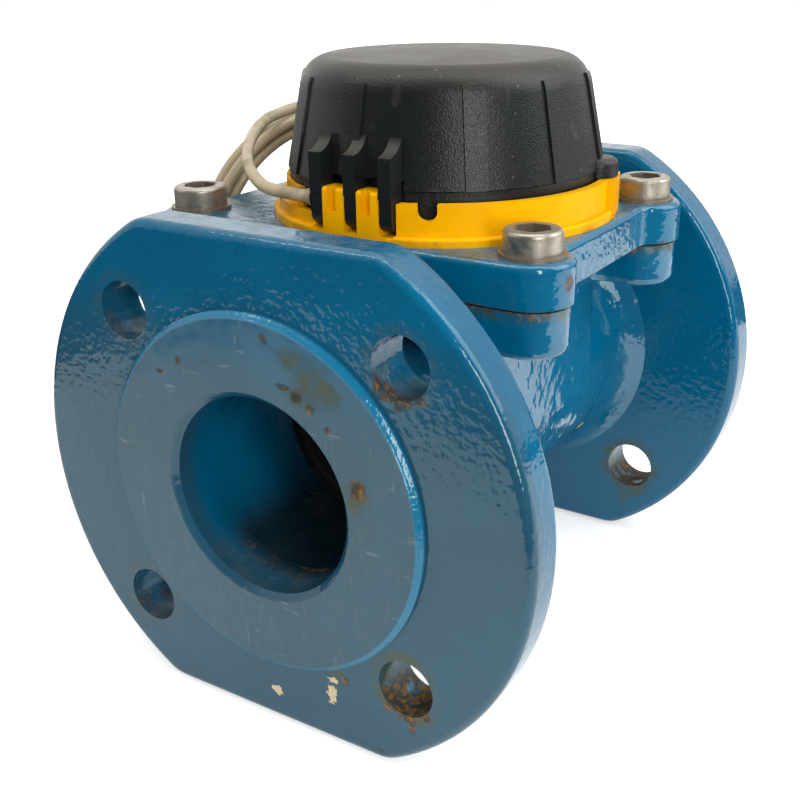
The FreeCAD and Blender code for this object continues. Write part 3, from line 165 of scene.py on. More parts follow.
class PaintSettings(PropertyGroup):
    colour: colour_prop("Enamel", "Blue of the enamel", (0.0005, 0.104, 0.206))
    # The deep blue is also painted shade: a flange's share darkens the whole flange towards it, the
    # outlet wholly.
    deep: colour_prop("Deep enamel", "Blue where the enamel lies thick", (0.000, 0.086, 0.174))
    gloss: colour_prop("Gloss", "Tint of the enamel's gloss", (0.86, 1.00, 0.93))
    film: colour_prop("Film", "Dried water film on the inlet's face", (0.024, 0.042, 0.048))
    dust: colour_prop("Dust", "Thin dust on what faces up", (0.190, 0.190, 0.115))
    rust_dark: colour_prop("Dark rust", "Old rust", (0.020, 0.011, 0.004))
    rust_bright: colour_prop("Bright rust", "Fresh rust", (0.200, 0.096, 0.022))
    stain: colour_prop("Stain", "Olive run-off", (0.046, 0.056, 0.022))
    scratch: colour_prop("Scratch", "Pale scratches on the raised face", (0.200, 0.235, 0.230))
    # Painted highlight: a lighter blue laid on the raised face's bevel.
    bevel: colour_prop("Bevel", "Thin enamel on the raised face's edge", (0.004, 0.190, 0.350))
    # Painted shade: near black, laid deep in the bore away from its left wall.
    murk: colour_prop("Murk", "Wet dirt deep in the bore", (0.004, 0.009, 0.010))
    primer: colour_prop("Primer", "Pale primer in the chips", (0.560, 0.450, 0.270))
    peel_size: length_prop("Peel size", "Width of the enamel's waves", 0.0023)
    peel_depth: length_prop("Peel depth", "Height of the enamel's waves", 0.00016)
    lump_size: length_prop("Lump size", "Width of the casting's lumps", 0.0085)
    lump_depth: length_prop("Lump depth", "Height of the casting's lumps", 0.00022)
    roughness: amount_prop("Roughness", "Gloss of clean enamel", 0.09)


class PlasticSettings(PropertyGroup):
    black: colour_prop("Black", "Cap and bezel", (0.0080, 0.0096, 0.0096))
    yellow: colour_prop("Yellow", "Clamp ring", (0.800, 0.382, 0.001))
    grey: colour_prop("Grey", "Movement of the register", (0.10, 0.11, 0.115))
    wet: colour_prop("Wet black", "Measuring insert", (0.020, 0.021, 0.022))
    white: colour_prop("White", "Rotor and worm wheel", (0.72, 0.72, 0.69))
    red: colour_prop("Red", "Pointers and star wheel", (0.55, 0.025, 0.018))
    dust: colour_prop("Dust", "Brown dust on the cap", (0.200, 0.165, 0.115))


class MetalSettings(PropertyGroup):
    steel: colour_prop("Plated steel", "Cover screws and washers", (0.43, 0.395, 0.33))
    stainless: colour_prop("Stainless steel", "Shafts and pins", (0.60, 0.60, 0.59))
    brass: colour_prop("Brass", "Bushes and worm", (0.70, 0.47, 0.18))
    grime: colour_prop("Grime", "Brown dirt in sockets and under heads", (0.085, 0.055, 0.030))


class DialSettings(PropertyGroup):
    reading: StringProperty(name="Reading", description="Digits that the rollers show",
                            default="004173")
    card: colour_prop("Card", "Face of the dial", (0.78, 0.78, 0.75))
    ink: colour_prop("Ink", "Printed marks", (0.012, 0.012, 0.014))
    figure_size: length_prop("Figure size", "Height of the type on the small dials", 0.0030)
    roller_figure_size: length_prop("Roller figure size", "Height of the rollers' type", 0.0031)
    print_depth: length_prop("Print depth", "Thickness of the ink", 0.00004)
    rim_ticks: IntProperty(name="Rim ticks", description="Marks round the dial's edge", default=100,
                           min=4)


class StudioSettings(PropertyGroup):
    table: colour_prop("Table", "Pale table under the meter", (0.80, 0.79, 0.77))
    beyond: colour_prop("Beyond", "What gloss shows past the table", (0.07, 0.07, 0.07))
    table_turn: angle_prop("Table turn", "Turn of the table towards the camera", 25.5)
    near_reach: length_prop("Near reach", "From the meter to the table's near edge", 0.271)
    rear_reach: length_prop("Rear reach", "From the meter to the table's far edge", 0.38)
    left_reach: length_prop("Left reach", "From the meter to the table's left edge", 0.42)
    lift: amount_prop("Lift", "Extra brightness of the table where it shows", 0.45)
    far_lift: amount_prop("Far lift", "Extra brightness of the table far off", 0.45)
    sky: amount_prop("Sky", "Even light from all round", 0.50)
    window: amount_prop("Window", "Brightness of the broad light on the left", 0.45)
    overhead: amount_prop("Overhead", "Brightness of the broad light above", 0.6)
    front: amount_prop("Front", "Brightness of the fill in front, unseen in gloss", 0.9)
    side: amount_prop("Side", "Brightness of the broad light on the right", 3.4)
    strip: amount_prop("Strip", "Brightness of the narrow light in front", 12.0)
    tubes: amount_prop("Tubes", "Brightness of the two narrow lights above", 16.0)


class MeterSettings(PropertyGroup):
    camera: PointerProperty(type=CameraSettings)
    cable: PointerProperty(type=CableSettings)
    paint: PointerProperty(type=PaintSettings)
    plastic: PointerProperty(type=PlasticSettings)
    metal: PointerProperty(type=MetalSettings)
    dial: PointerProperty(type=DialSettings)
    studio: PointerProperty(type=StudioSettings)


def find_socket(sockets, key):
    """A socket by its identifier, or else by its index or name."""
    found = [socket for socket in sockets if socket.identifier == key]
    return found[0] if found else sockets[key]


class Val:
    """One output of a node. Arithmetic on it adds Math nodes to the same tree."""

    def __init__(self, owner, socket):
        self.owner = owner
        self.socket = socket

    def also(self, key):
        """Another output of the same node."""
        return Val(self.owner, find_socket(self.socket.node.outputs, key))

    def math(self, operation, *others):
        sockets = dict(enumerate((self, *others)))
        return self.owner.node("ShaderNodeMath", {"operation": operation}, sockets)

    def __rsub__(self, other):
        return self * -1.0 + other

    __abs__ = partialmethod(math, "ABSOLUTE")
    __add__ = partialmethod(math, "ADD")
    __sub__ = partialmethod(math, "SUBTRACT")
    __mul__ = __rmul__ = partialmethod(math, "MULTIPLY")
    most = partialmethod(math, "MAXIMUM")
    least = partialmethod(math, "MINIMUM")

    def rise(self, low, high):
        """From 0 at low to 1 at high, eased at both ends; low may be the larger."""
        return self.owner.node(
            "ShaderNodeMapRange", {"interpolation_type": "SMOOTHSTEP"},
            {"Value": self, "From Min": low, "From Max": high})


class NodeTree:
    """A node tree under construction, with the one method that makes its nodes."""

    def __init__(self, tree):
        self.tree = tree
        tree.nodes.clear()

    def node(self, kind, options=None, sockets=None, out=0):
        made = self.tree.nodes.new(kind)
        for name, value in (options or {}).items():
            setattr(made, name, value)
        for key, value in (sockets or {}).items():
            socket = find_socket(made.inputs, key)
            if isinstance(value, Val):
                self.tree.links.new(value.socket, socket)
            elif socket.type == "RGBA":
                socket.default_value = (*value[:3], 1.0)
            else:
                socket.default_value = value
        return None if out is None else Val(self, find_socket(made.outputs, out))

    def vector(self, operation, first, second=None, out=0):
        """Vector maths on one value or two."""
        sockets = {0: first} if second is None else {0: first, 1: second}
        return self.node("ShaderNodeVectorMath", {"operation": operation}, sockets, out)


class Finish(NodeTree):
    """A material under construction, measured in millimetres of the meter's own frame."""

    def __init__(self, name):
        self.material = bpy.data.materials.new(name)
        self.material.use_nodes = True
        super().__init__(self.material.node_tree)

    @cached_property
    def coordinates(self):
        return self.node("ShaderNodeTexCoord", out="Object")

    @cached_property
    def place(self):
        return self.vector("MULTIPLY", self.coordinates, [1 / MM] * 3)

    @cached_property
    def axes(self):
        return self.split(self.place)

    @cached_property
    def facing(self):
        return self.split(self.coordinates.also("Normal"))

    def split(self, vector):
        x = self.node("ShaderNodeSeparateXYZ", {}, {"Vector": vector})
        return x, x.also("Y"), x.also("Z")

    def noise(self, size, detail, stretch=None):
        """Cloudy noise whose patches are about size millimetres across."""
        place = self.vector("MULTIPLY", self.place, stretch) if stretch else self.place
        return self.node("ShaderNodeTexNoise", {},
                         {"Vector": place, "Scale": 1 / size, "Detail": detail})

    def cells(self, size):
        """Distance from the middle of irregular cells about size millimetres across."""
        return self.node("ShaderNodeTexVoronoi", {}, {"Vector": self.place, "Scale": 1 / size})

    def mix(self, share, under, over):
        return self.node("ShaderNodeMix", {"data_type": "RGBA"},
                         {"Factor_Float": share, "A_Color": under, "B_Color": over}, "Result_Color")

    def coats(self, colour, *layers):
        """A colour under several layers, each a share and a colour."""
        for share, over in layers:
            colour = self.mix(share, colour, over)
        return colour

    def bump(self, height, depth, under=None):
        """A bump of that many millimetres, over another one if given."""
        sockets = {"Height": height, "Distance": depth * MM}
        if under:
            sockets["Normal"] = under
        return self.node("ShaderNodeBump", {}, sockets)

    def radius(self, across, along):
        """How far two values are from nought together."""
        both = self.node("ShaderNodeCombineXYZ", {}, {"X": across, "Y": along})
        return self.vector("LENGTH", both, out="Value")

    def spots(self, places, edge, soft):
        """The union of blots with torn edges, each a middle and three half sizes in millimetres."""
        union = self.axes[0] * 0.0
        for middle, half in places:
            offset = self.vector("SUBTRACT", self.place, middle)
            scaled = self.vector("MULTIPLY", offset, [1 / size for size in half])
            reach = self.vector("LENGTH", scaled, out="Value")
            union = union.most((reach + edge).rise(1.0, 1.0 - soft))
        return union

    def surface(self, **sockets):
        """Ends the tree in a Principled shader with these sockets, and gives the material."""
        named = {key.replace("_", " "): value for key, value in sockets.items()}
        shader = self.node("ShaderNodeBsdfPrincipled", {}, named)
        self.node("ShaderNodeOutputMaterial", {}, {"Surface": shader}, None)
        return self.material


def meter_settings():
    return bpy.context.scene.meter_looks


def dress(material, *nodes):
    """Gives CAD nodes their finish."""
    for node in nodes:
        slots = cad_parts[node].material_slots
        if not slots:
            raise RuntimeError(f"{node} has no material slot")
        for slot in slots:
            slot.material = material


def new_object(name, data):
    """A new object in the scene."""
    made = bpy.data.objects.new(name, data)
    bpy.context.scene.collection.objects.link(made)
    return made


def add_piece(name, mesh, material, body):
    """A finished mesh in the meter's frame becomes a piece that rides on a body."""
    piece = new_object(name, mesh)
    mesh.materials.clear()
    mesh.materials.append(material)
    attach(piece, body)
    return piece


def plain_mesh(thing):
    """The final mesh of a curve, text or modified object, which is then removed."""
    bpy.context.view_layer.update()
    graph = bpy.context.evaluated_depsgraph_get()
    mesh = bpy.data.meshes.new_from_object(thing.evaluated_get(graph))
    mesh.transform(thing.matrix_world)
    bpy.data.objects.remove(thing)
    return mesh


class METER_OT_camera(Operator):
    """Stand the camera where the photograph was taken from"""
    bl_idname = "meter.camera"
    bl_label = "Camera"

    def execute(self, context):
        view = meter_settings().camera
        turn, rise, roll = view.azimuth, view.elevation, view.roll
        back = Vector((math.sin(turn) * math.cos(rise), -math.cos(turn) * math.cos(rise),
                       math.sin(rise)))
        level = Vector((math.cos(turn), math.sin(turn), 0.0))
        steep = back.cross(level)
        right = level * math.cos(roll) + steep * math.sin(roll)
        up = steep * math.cos(roll) - level * math.sin(roll)
        place = Vector((0, 0, AXIS_Z)) + back * view.distance - right * view.aside - up * view.above
        lens = bpy.data.cameras.new("photo_camera")
        lens.sensor_width = 36.0
        lens.lens, lens.shift_x, lens.shift_y = view.lens, view.shift_x, view.shift_y
        lens.clip_start = 0.01
        camera = new_object("photo_camera", lens)
        stance = Matrix((right, up, back)).transposed().to_4x4()
        camera.matrix_world = Matrix.Translation(place) @ stance
        context.scene.camera = camera
        return {"FINISHED"}


def coil_points(look):
    """The coil's turns, from where the lead joins them to the loose end behind the meter."""
    rear = Vector((math.sin(COIL_YAW), math.cos(COIL_YAW), 0.0))
    outward = Vector((math.cos(COIL_YAW), -math.sin(COIL_YAW), 0.0))
    high = Vector((0, 0, math.cos(COIL_LEAN))) + outward * math.sin(COIL_LEAN)
    normal = outward * math.cos(COIL_LEAN) - Vector((0, 0, math.sin(COIL_LEAN)))
    points = []
    for index in range(round(look.turns * POINTS_PER_TURN) + 1):
        turn = index / POINTS_PER_TURN
        angle = COIL_JOIN - 2 * math.pi * turn
        swing = look.twist * turn
        loose = look.spread * (1.0 + SWAY * math.sin(SWAY_PACE * turn + SWAY_START))
        reach = look.coil_diameter / 2 + loose * math.cos(swing)
        around = rear * math.cos(angle) + high * math.sin(angle)
        fan = 1.0 + look.fan * max(0.0, math.cos(angle - look.fan_side)) ** 2
        points.append(COIL_CENTRE + around * reach + normal * loose * fan * math.sin(swing))
    return points


def nurbs_cord(name, points, diameter):
    """A round cord on one open NURBS spline through the meter's frame."""
    curve = bpy.data.curves.new(name, "CURVE")
    curve.dimensions = "3D"
    curve.resolution_u = 6
    curve.bevel_depth = diameter / 2
    curve.bevel_resolution = 5
    curve.use_fill_caps = True
    spline = curve.splines.new("NURBS")
    spline.points.add(len(points) - 1)
    for point, place in zip(spline.points, points):
        point.co = (*place, 1.0)
    spline.order_u = 3
    spline.use_endpoint_u = True
    return new_object(name, curve)


def cable_sheath(look):
    """PVC sheath: warm grey, grimy in patches, with a soft sheen."""
    finish = Finish("cable_sheath")
    grime = finish.noise(9.0, 4).rise(0.48, 0.72)
    specks = finish.noise(1.1, 2).rise(0.66, 0.74)
    dirty = [0.42 * value for value in look.sheath]
    colour = finish.coats(look.sheath, (grime * 0.55, dirty), (specks * 0.5, (0.07, 0.055, 0.04)))
    ripple = finish.noise(3.0, 2)
    return finish.surface(Base_Color=colour, Roughness=grime * 0.2 + 0.33,
                          Normal=finish.bump(ripple, 0.12), Specular_IOR_Level=0.5)


def clouded(name, colour, size, detail, dim, roughness, grain, depth):
    """Insulation or card: a clouded shade, a roughness that follows it, and a fine grain."""
    finish = Finish(name)
    cloud = finish.noise(size, detail)
    shade = finish.mix(cloud.rise(0.35, 0.7), colour, [dim * value for value in colour])
    vary, base = roughness
    return finish.surface(Base_Color=shade, Roughness=cloud * vary + base,
                          Normal=finish.bump(finish.noise(0.6, grain), depth))


class METER_OT_cable(Operator):
    """Lay the pulse cable from its gland into the loose coil that hangs behind the cover plate"""
    bl_idname = "meter.cable"
    bl_label = "Pulse Cable"

    CORES = (("brown", (0.16, 0.06, 0.02), -1), ("white", (0.70, 0.70, 0.66), 0),
             ("green", (0.02, 0.16, 0.05), 1))
    CORE_D = 0.0010
    CORE_TUCK = 0.002
    CORE_SPREAD = (0.0011, 0.0014, 0.0030)

    def execute(self, context):
        look = meter_settings().cable
        lead = [Vector((x, y, COVER_MM + height)) * MM for x, y, height in LEAD_ROUTE]
        turns = coil_points(look)
        cable = nurbs_cord("pulse_cable", [GLAND_END, *lead, *turns], look.diameter)
        cable.data.materials.append(cable_sheath(look))
        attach(cable, "meter")
        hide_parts("cable_lead", "cable_coil")
        self.length_of(cable)
        self.cores(turns, look)
        return {"FINISHED"}

    def length_of(self, cable):
        """Length of the cable's own line, read from its spline."""
        bare = cable.copy()
        bare.data = cable.data.copy()
        bare.data.bevel_depth = 0.0
        bpy.context.scene.collection.objects.link(bare)
        line = plain_mesh(bare)
        return sum((line.vertices[a].co - line.vertices[b].co).length for a, b in line.edge_keys)

    def cores(self, turns, look):
        """The three thin wires that leave the sheath at its far end."""
        end = turns[-1]
        ahead = (turns[-1] - turns[-2]).normalized()
        aside = ahead.cross(Vector((0, 0, 1))).normalized()
        pieces = []
        for name, colour, side in self.CORES:
            near, middle, far = (aside * side * spread for spread in self.CORE_SPREAD)
            start = end - ahead * self.CORE_TUCK + near
            bend = end + ahead * look.core_length * 0.5 + middle
            tip = end + ahead * look.core_length + far
            wire = nurbs_cord("core", [start, bend, tip], self.CORE_D)
            insulation = clouded(f"core_{name}", colour, 2.0, 2, 0.6, (0.2, 0.3), 1, 0.02)
            pieces.append(add_piece(f"cable_core_{name}", plain_mesh(wire), insulation, "meter"))
        return pieces


def on_face(face, *blots):
    """Blots on a flat face across the pipe, each given by its x, its z and its two half sizes."""
    return tuple(((x, face, z), (wide, BLOT_DEPTH, tall)) for x, z, wide, tall in blots)


class METER_OT_enamel(Operator):
    """Paint the casting in thick blue enamel, with its waves, dust, chips, stains and rust, and
    painted shade and highlight
    """
    bl_idname = "meter.enamel"
    bl_label = "Blue Enamel"

    FACE_RUST = on_face(
        RAISED_Y, (7.1, 134.1, 1.9, 2.4), (13, 120.7, 3.6, 1.4), (17.7, 118.8, 2.8, 2.2),
        (22.5, 115.8, 2.4, 2.2), (28.5, 110.5, 1.5, 2), (38.3, 94.6, 3.2, 4.2),
        (-35, 116.5, 1.8, 1), (-27, 121.5, 1.4, 1.6))
    HOLE_RUST = on_face(
        -FLANGE_FACE, (43.8, 127, 2.2, 3.6), (47.4, 123.8, 4.4, 2.2), (52.4, 122.8, 4.6, 1.8),
        (57, 124.8, 3, 1.9), (50.4, 121.4, 1.8, 2.2), (46, 21.6, 3.2, 1.6), (52, 19.8, 5.2, 1.7),
        (58.5, 22.6, 2.4, 2.4), (53.6, 16.6, 2, 2.8), (29.4, 24.7, 2.4, 1.6), (41.7, 3.8, 1.5, 0.9))
    FOOT_RUST = (((2.7, -98, 0), (4.6, 6, 1.6)),)
    STAINS = on_face(
        RAISED_Y, (17, 129.4, 7.4, 5), (22.5, 126, 8.4, 6), (28.5, 121.8, 7, 5.4),
        (37.6, 92, 5.2, 7.4), (20, 119.4, 9, 5)) + on_face(-FLANGE_FACE, (26, 26, 5, 2.2))
    OUTLET_STAINS = (
        ((48.6, 80, 15.5), (3.4, 6, 6)), ((53, 80, 18.5), (7.6, 6, 3.6)),
        ((41, 80, 27), (3, 6, 5)),
    )
    OUTLET_RUST = on_face(-RAISED_Y, (-20, 123, 3, 1.8), (31, 112, 1.8, 2.4)) + on_face(
        FLANGE_FACE, (12, 21, 2.6, 1.4))
    CHIPS = on_face(-FLANGE_FACE, (1.8, 11.1, 2.6, 1.7), (23.7, 18.3, 1.8, 4), (24.6, 23.4, 2.6, 1))
    JOINT_RUST = (
        ((46, -57, 139.6), (14, 6, 1.1)), ((62, -57, 139.4), (6, 6, 0.9)),
        ((69, -30, 139.8), (7, 10, 1.2)), ((76, 30, 139.8), (5, 14, 1.2)),
        ((76.8, -46, 147), (2, 2.6, 3.4)), ((66, -20, 139.5), (6, 6, 1.2)),
        ((52, -57, 126), (10, 5, 1.2)),
    )
    JOINT_STAINS = (
        ((48, -57, 138), (16, 6, 2.6)), ((70, -20, 137.5), (8, 16, 2.4)),
        ((46, -54, 153.5), (10, 6, 2)), ((72, 0, 153.5), (4, 20, 2)),
    )
    BARREL_CHIPS = (((35.6, 63, 51.5), (1.8, 2.4, 2.6)), ((41, 30, 62), (0.8, 0.9, 1.1)))

    def execute(self, context):
        inlet_rust = self.FACE_RUST + self.HOLE_RUST + self.FOOT_RUST
        for node, name, gloss, lumps, wear_and_shade, rust, stains, chips in (
                ("inlet_flange", "enamel_inlet", 0.42, 0.7, 0.35,
                 inlet_rust, self.STAINS, self.CHIPS),
                # The outlet's share of 1.0 also paints the whole flange in the deep blue, as
                # painted shade.
                ("outlet_flange", "enamel_outlet", 0.42, 0.8, 1.0,
                 self.OUTLET_RUST, self.OUTLET_STAINS, ()),
                ("cover_plate", "enamel_cover", 0.60, 1.7, None,
                 self.JOINT_RUST, self.JOINT_STAINS, ()),
                ("body_casting", "enamel_barrel", 0.80, 3.0, None,
                 self.JOINT_RUST, self.JOINT_STAINS, self.BARREL_CHIPS)):
            dress(self.enamel(name, gloss, lumps, rust, stains, chips, wear_and_shade), node)
        return {"FINISHED"}

    def enamel(self, name, gloss, lumps, rust_places, stains, chips, wear_and_shade):
        """One coat of enamel, with a flange's share of wear and of painted shade, or None off a
        flange.
        """
        look = meter_settings().paint
        finish = Finish(name)
        x, y, z = finish.axes
        off_axis = finish.radius(x, z - AXIS_MM)
        torn = (finish.noise(2.6, 5) - 0.5) * 1.2
        mottle = finish.noise(1.8, 3).rise(0.40, 0.68)
        cloud = finish.noise(30.0, 2).rise(0.36, 0.66)
        drift = finish.noise(6.0, 4).rise(0.30, 0.72)
        settled = finish.facing[2].rise(0.60, 1.0) * (drift * 0.20 + 0.05)
        # Thick enamel in clouds, plus the flange's share, which darkens the whole flange as painted
        # shade.
        thick_and_shaded = (cloud + (wear_and_shade or 0.0)).least(1.0)
        colour = finish.coats(look.colour, (thick_and_shaded, look.deep), (settled, look.dust))
        roughness = settled * 0.9 + cloud * 0.03 + look.roughness
        peel = finish.noise(look.peel_size / MM, 1.0)
        rust, stain = finish.spots(rust_places, torn, 0.5), finish.spots(stains, torn, 0.6)
        if wear_and_shade is None:
            low_edge = (z + torn * 2.2).rise(SEAT_TOP - 4.5, SEAT_TOP - 0.8)
            joint = low_edge * z.rise(SEAT_TOP + 0.6, SEAT_TOP + 0.2)
            stain = stain.most(joint * finish.noise(7.0, 3).rise(0.36, 0.56))
            rust = rust.most(joint * finish.noise(5.0, 4).rise(0.46, 0.60) * 0.8)
            # Painted shade inside the bore, darker from its left wall to its right.
            inside = off_axis.rise(BORE_R + 1.0, BORE_R + 0.5)
            colour = finish.mix(inside * x.rise(BORE_SHADE_LEFT, BORE_SHADE_RIGHT) * 0.9, colour, look.murk)
        else:
            machined, walls, ring, murk = self.flange_wear(finish, torn, wear_and_shade)
            film = z.rise(FILM_HIGH, FILM_LOW) * (finish.noise(14.0, 3) * 0.3 + 0.85) * (1 - wear_and_shade)
            film = film * y.rise(RAISED_Y + 12.0, RAISED_Y + 4.0)
            scuffs = finish.noise(2.4, 5, (1.0, 1.0, 0.3)).rise(0.52, 0.74)
            across = finish.noise(1.5, 3, (0.12, 1.0, 1.0)).rise(0.66, 0.72)
            upright = finish.noise(1.5, 3, (1.0, 1.0, 0.10)).rise(0.67, 0.73)
            scratch = across.most(upright) * finish.noise(16.0, 2).rise(0.44, 0.58)
            # Painted highlight: lighter blue and finer peel along the raised face's bevel.
            edge = off_axis.rise(RAISED_R - 2.2, RAISED_R - 1.4)
            edge = edge * abs(y).rise(FLANGE_FACE + 0.2, FLANGE_FACE + 0.6)
            colour = finish.coats(
                colour, (film * 0.85, look.film), (machined * scratch * 0.35, look.scratch),
                (machined * (scuffs * 0.10 + 0.05), look.dust), (murk * 0.85, look.murk),
                (edge * 0.6, look.bevel))
            roughness = roughness + machined * (scuffs * 0.10 + 0.07)
            peel = peel * (1 - machined * 0.85) + finish.noise(1.4, 2) * edge
            rust, stain = rust.most(walls), stain.most(ring)
        chip = finish.spots(chips, (finish.noise(1.5, 5) - 0.5) * 2.2, 0.2)
        thin = finish.noise(3.4, 5).rise(0.34, 0.66) * 0.6 + 0.25
        tint = finish.mix(mottle, look.rust_dark, look.rust_bright)
        rust = rust * (mottle * 0.35 + 0.65)
        colour = finish.coats(colour, (stain * thin, look.stain), (chip, look.primer), (rust, tint))
        roughness = roughness + stain * 0.15 + chip * 0.4 + rust * 0.6
        waves = finish.bump(finish.noise(look.lump_size / MM, 1.0), look.lump_depth * lumps / MM)
        relief = peel + (rust * mottle - chip) * 0.8
        return finish.surface(Base_Color=colour, Roughness=roughness, IOR=1.52,
                              Specular_IOR_Level=gloss, Specular_Tint=(*look.gloss, 1.0),
                              Normal=finish.bump(relief, look.peel_depth / MM, waves))

    def flange_wear(self, finish, torn, share):
        """Where a flange is machined, rusted in holes and bore, stained, and darkened deep in its
        bore as painted shade.

        The lower right hole has the most stain and both right holes the most rust; the others have
        that share.
        """
        x, y, z = finish.axes
        height = z - AXIS_MM
        right, low = x.rise(-1.0, 1.0), height.rise(1.0, -1.0)
        machined = abs(y).rise(-RAISED_Y - 0.8, -RAISED_Y - 0.3)
        patches = finish.noise(5.0, 4)
        hole = finish.radius(abs(x) - BOLT_OFFSET, abs(height) - BOLT_OFFSET)
        level = height - BOLT_OFFSET * (height.rise(-1.0, 1.0) * 2.0 - 1.0)
        low_side = (level + torn * 3.0).rise(-1.0, -6.5)
        mouth = abs(y).rise(FLANGE_FACE - 7.0, FLANGE_FACE - 1.5).most(low)
        holes = hole.rise(BOLT_R + 0.5, BOLT_R + 0.1) * low_side * patches.rise(0.30, 0.52)
        holes = holes * (right * (1.0 - share) + share) * mouth
        bore = finish.radius(x, height).rise(BORE_R + BORE_MOUTH - 0.2, BORE_R + BORE_MOUTH - 0.8)
        deep = bore * abs(y).rise(-RAISED_Y - 6.0, -RAISED_Y - 20.0)
        sump = (height + torn * 4.0).rise(-24.0, -33.0) * deep * patches.rise(0.42, 0.60)
        crown = (height + torn * 6.0).rise(20.0, 33.0) * deep * patches.rise(0.32, 0.64) * 0.7
        ring = (hole + torn * 1.6).rise(BOLT_R + 4.6, BOLT_R + 1.8) * patches.rise(0.30, 0.46)
        ring = ring * (right * low * (1.0 - share) + share)
        # Painted shade deep in the bore, darker from its left wall to its right.
        murk = deep * x.rise(BORE_SHADE_LEFT, BORE_SHADE_RIGHT)
        return machined, holes.most(sump * 0.8).most(crown), ring, murk


def moulded(name, colour, grain, depth, roughness, dust, dust_share):
    """Moulded plastic: a fine grain, a clouded shade, and a share of dust on what faces up."""
    finish = Finish(name)
    cloud = finish.noise(14.0, 3)
    shade = finish.mix(cloud.rise(0.35, 0.7), colour, [0.82 * value for value in colour])
    worn = cloud.rise(0.35, 0.7) * 0.10
    if dust_share:
        drift = finish.noise(5.0, 4).rise(0.3, 0.72)
        settled = finish.facing[2].rise(0.35, 0.95) * (drift * 0.6 + 0.4)
        shade = finish.mix(settled * dust_share, shade, dust)
        worn = worn + settled * 0.25
    return finish.surface(Base_Color=shade, Roughness=worn + roughness,
                          Normal=finish.bump(finish.noise(grain, 2), depth))


def machined_metal(name, colour, grime, roughness, grime_share):
    """Turned or plated metal: fine tool marks and brown grime in patches."""
    finish = Finish(name)
    marks = finish.noise(0.7, 2, (1.0, 1.0, 6.0))
    patches = finish.noise(4.0, 4).rise(0.44, 0.70)
    shade = finish.mix(patches * grime_share, colour, grime)
    return finish.surface(Base_Color=shade, Metallic=1.0 - patches * grime_share * 0.6,
                          Roughness=patches * 0.22 + marks * 0.16 + (roughness - 0.08),
                          Normal=finish.bump(marks, 0.015))


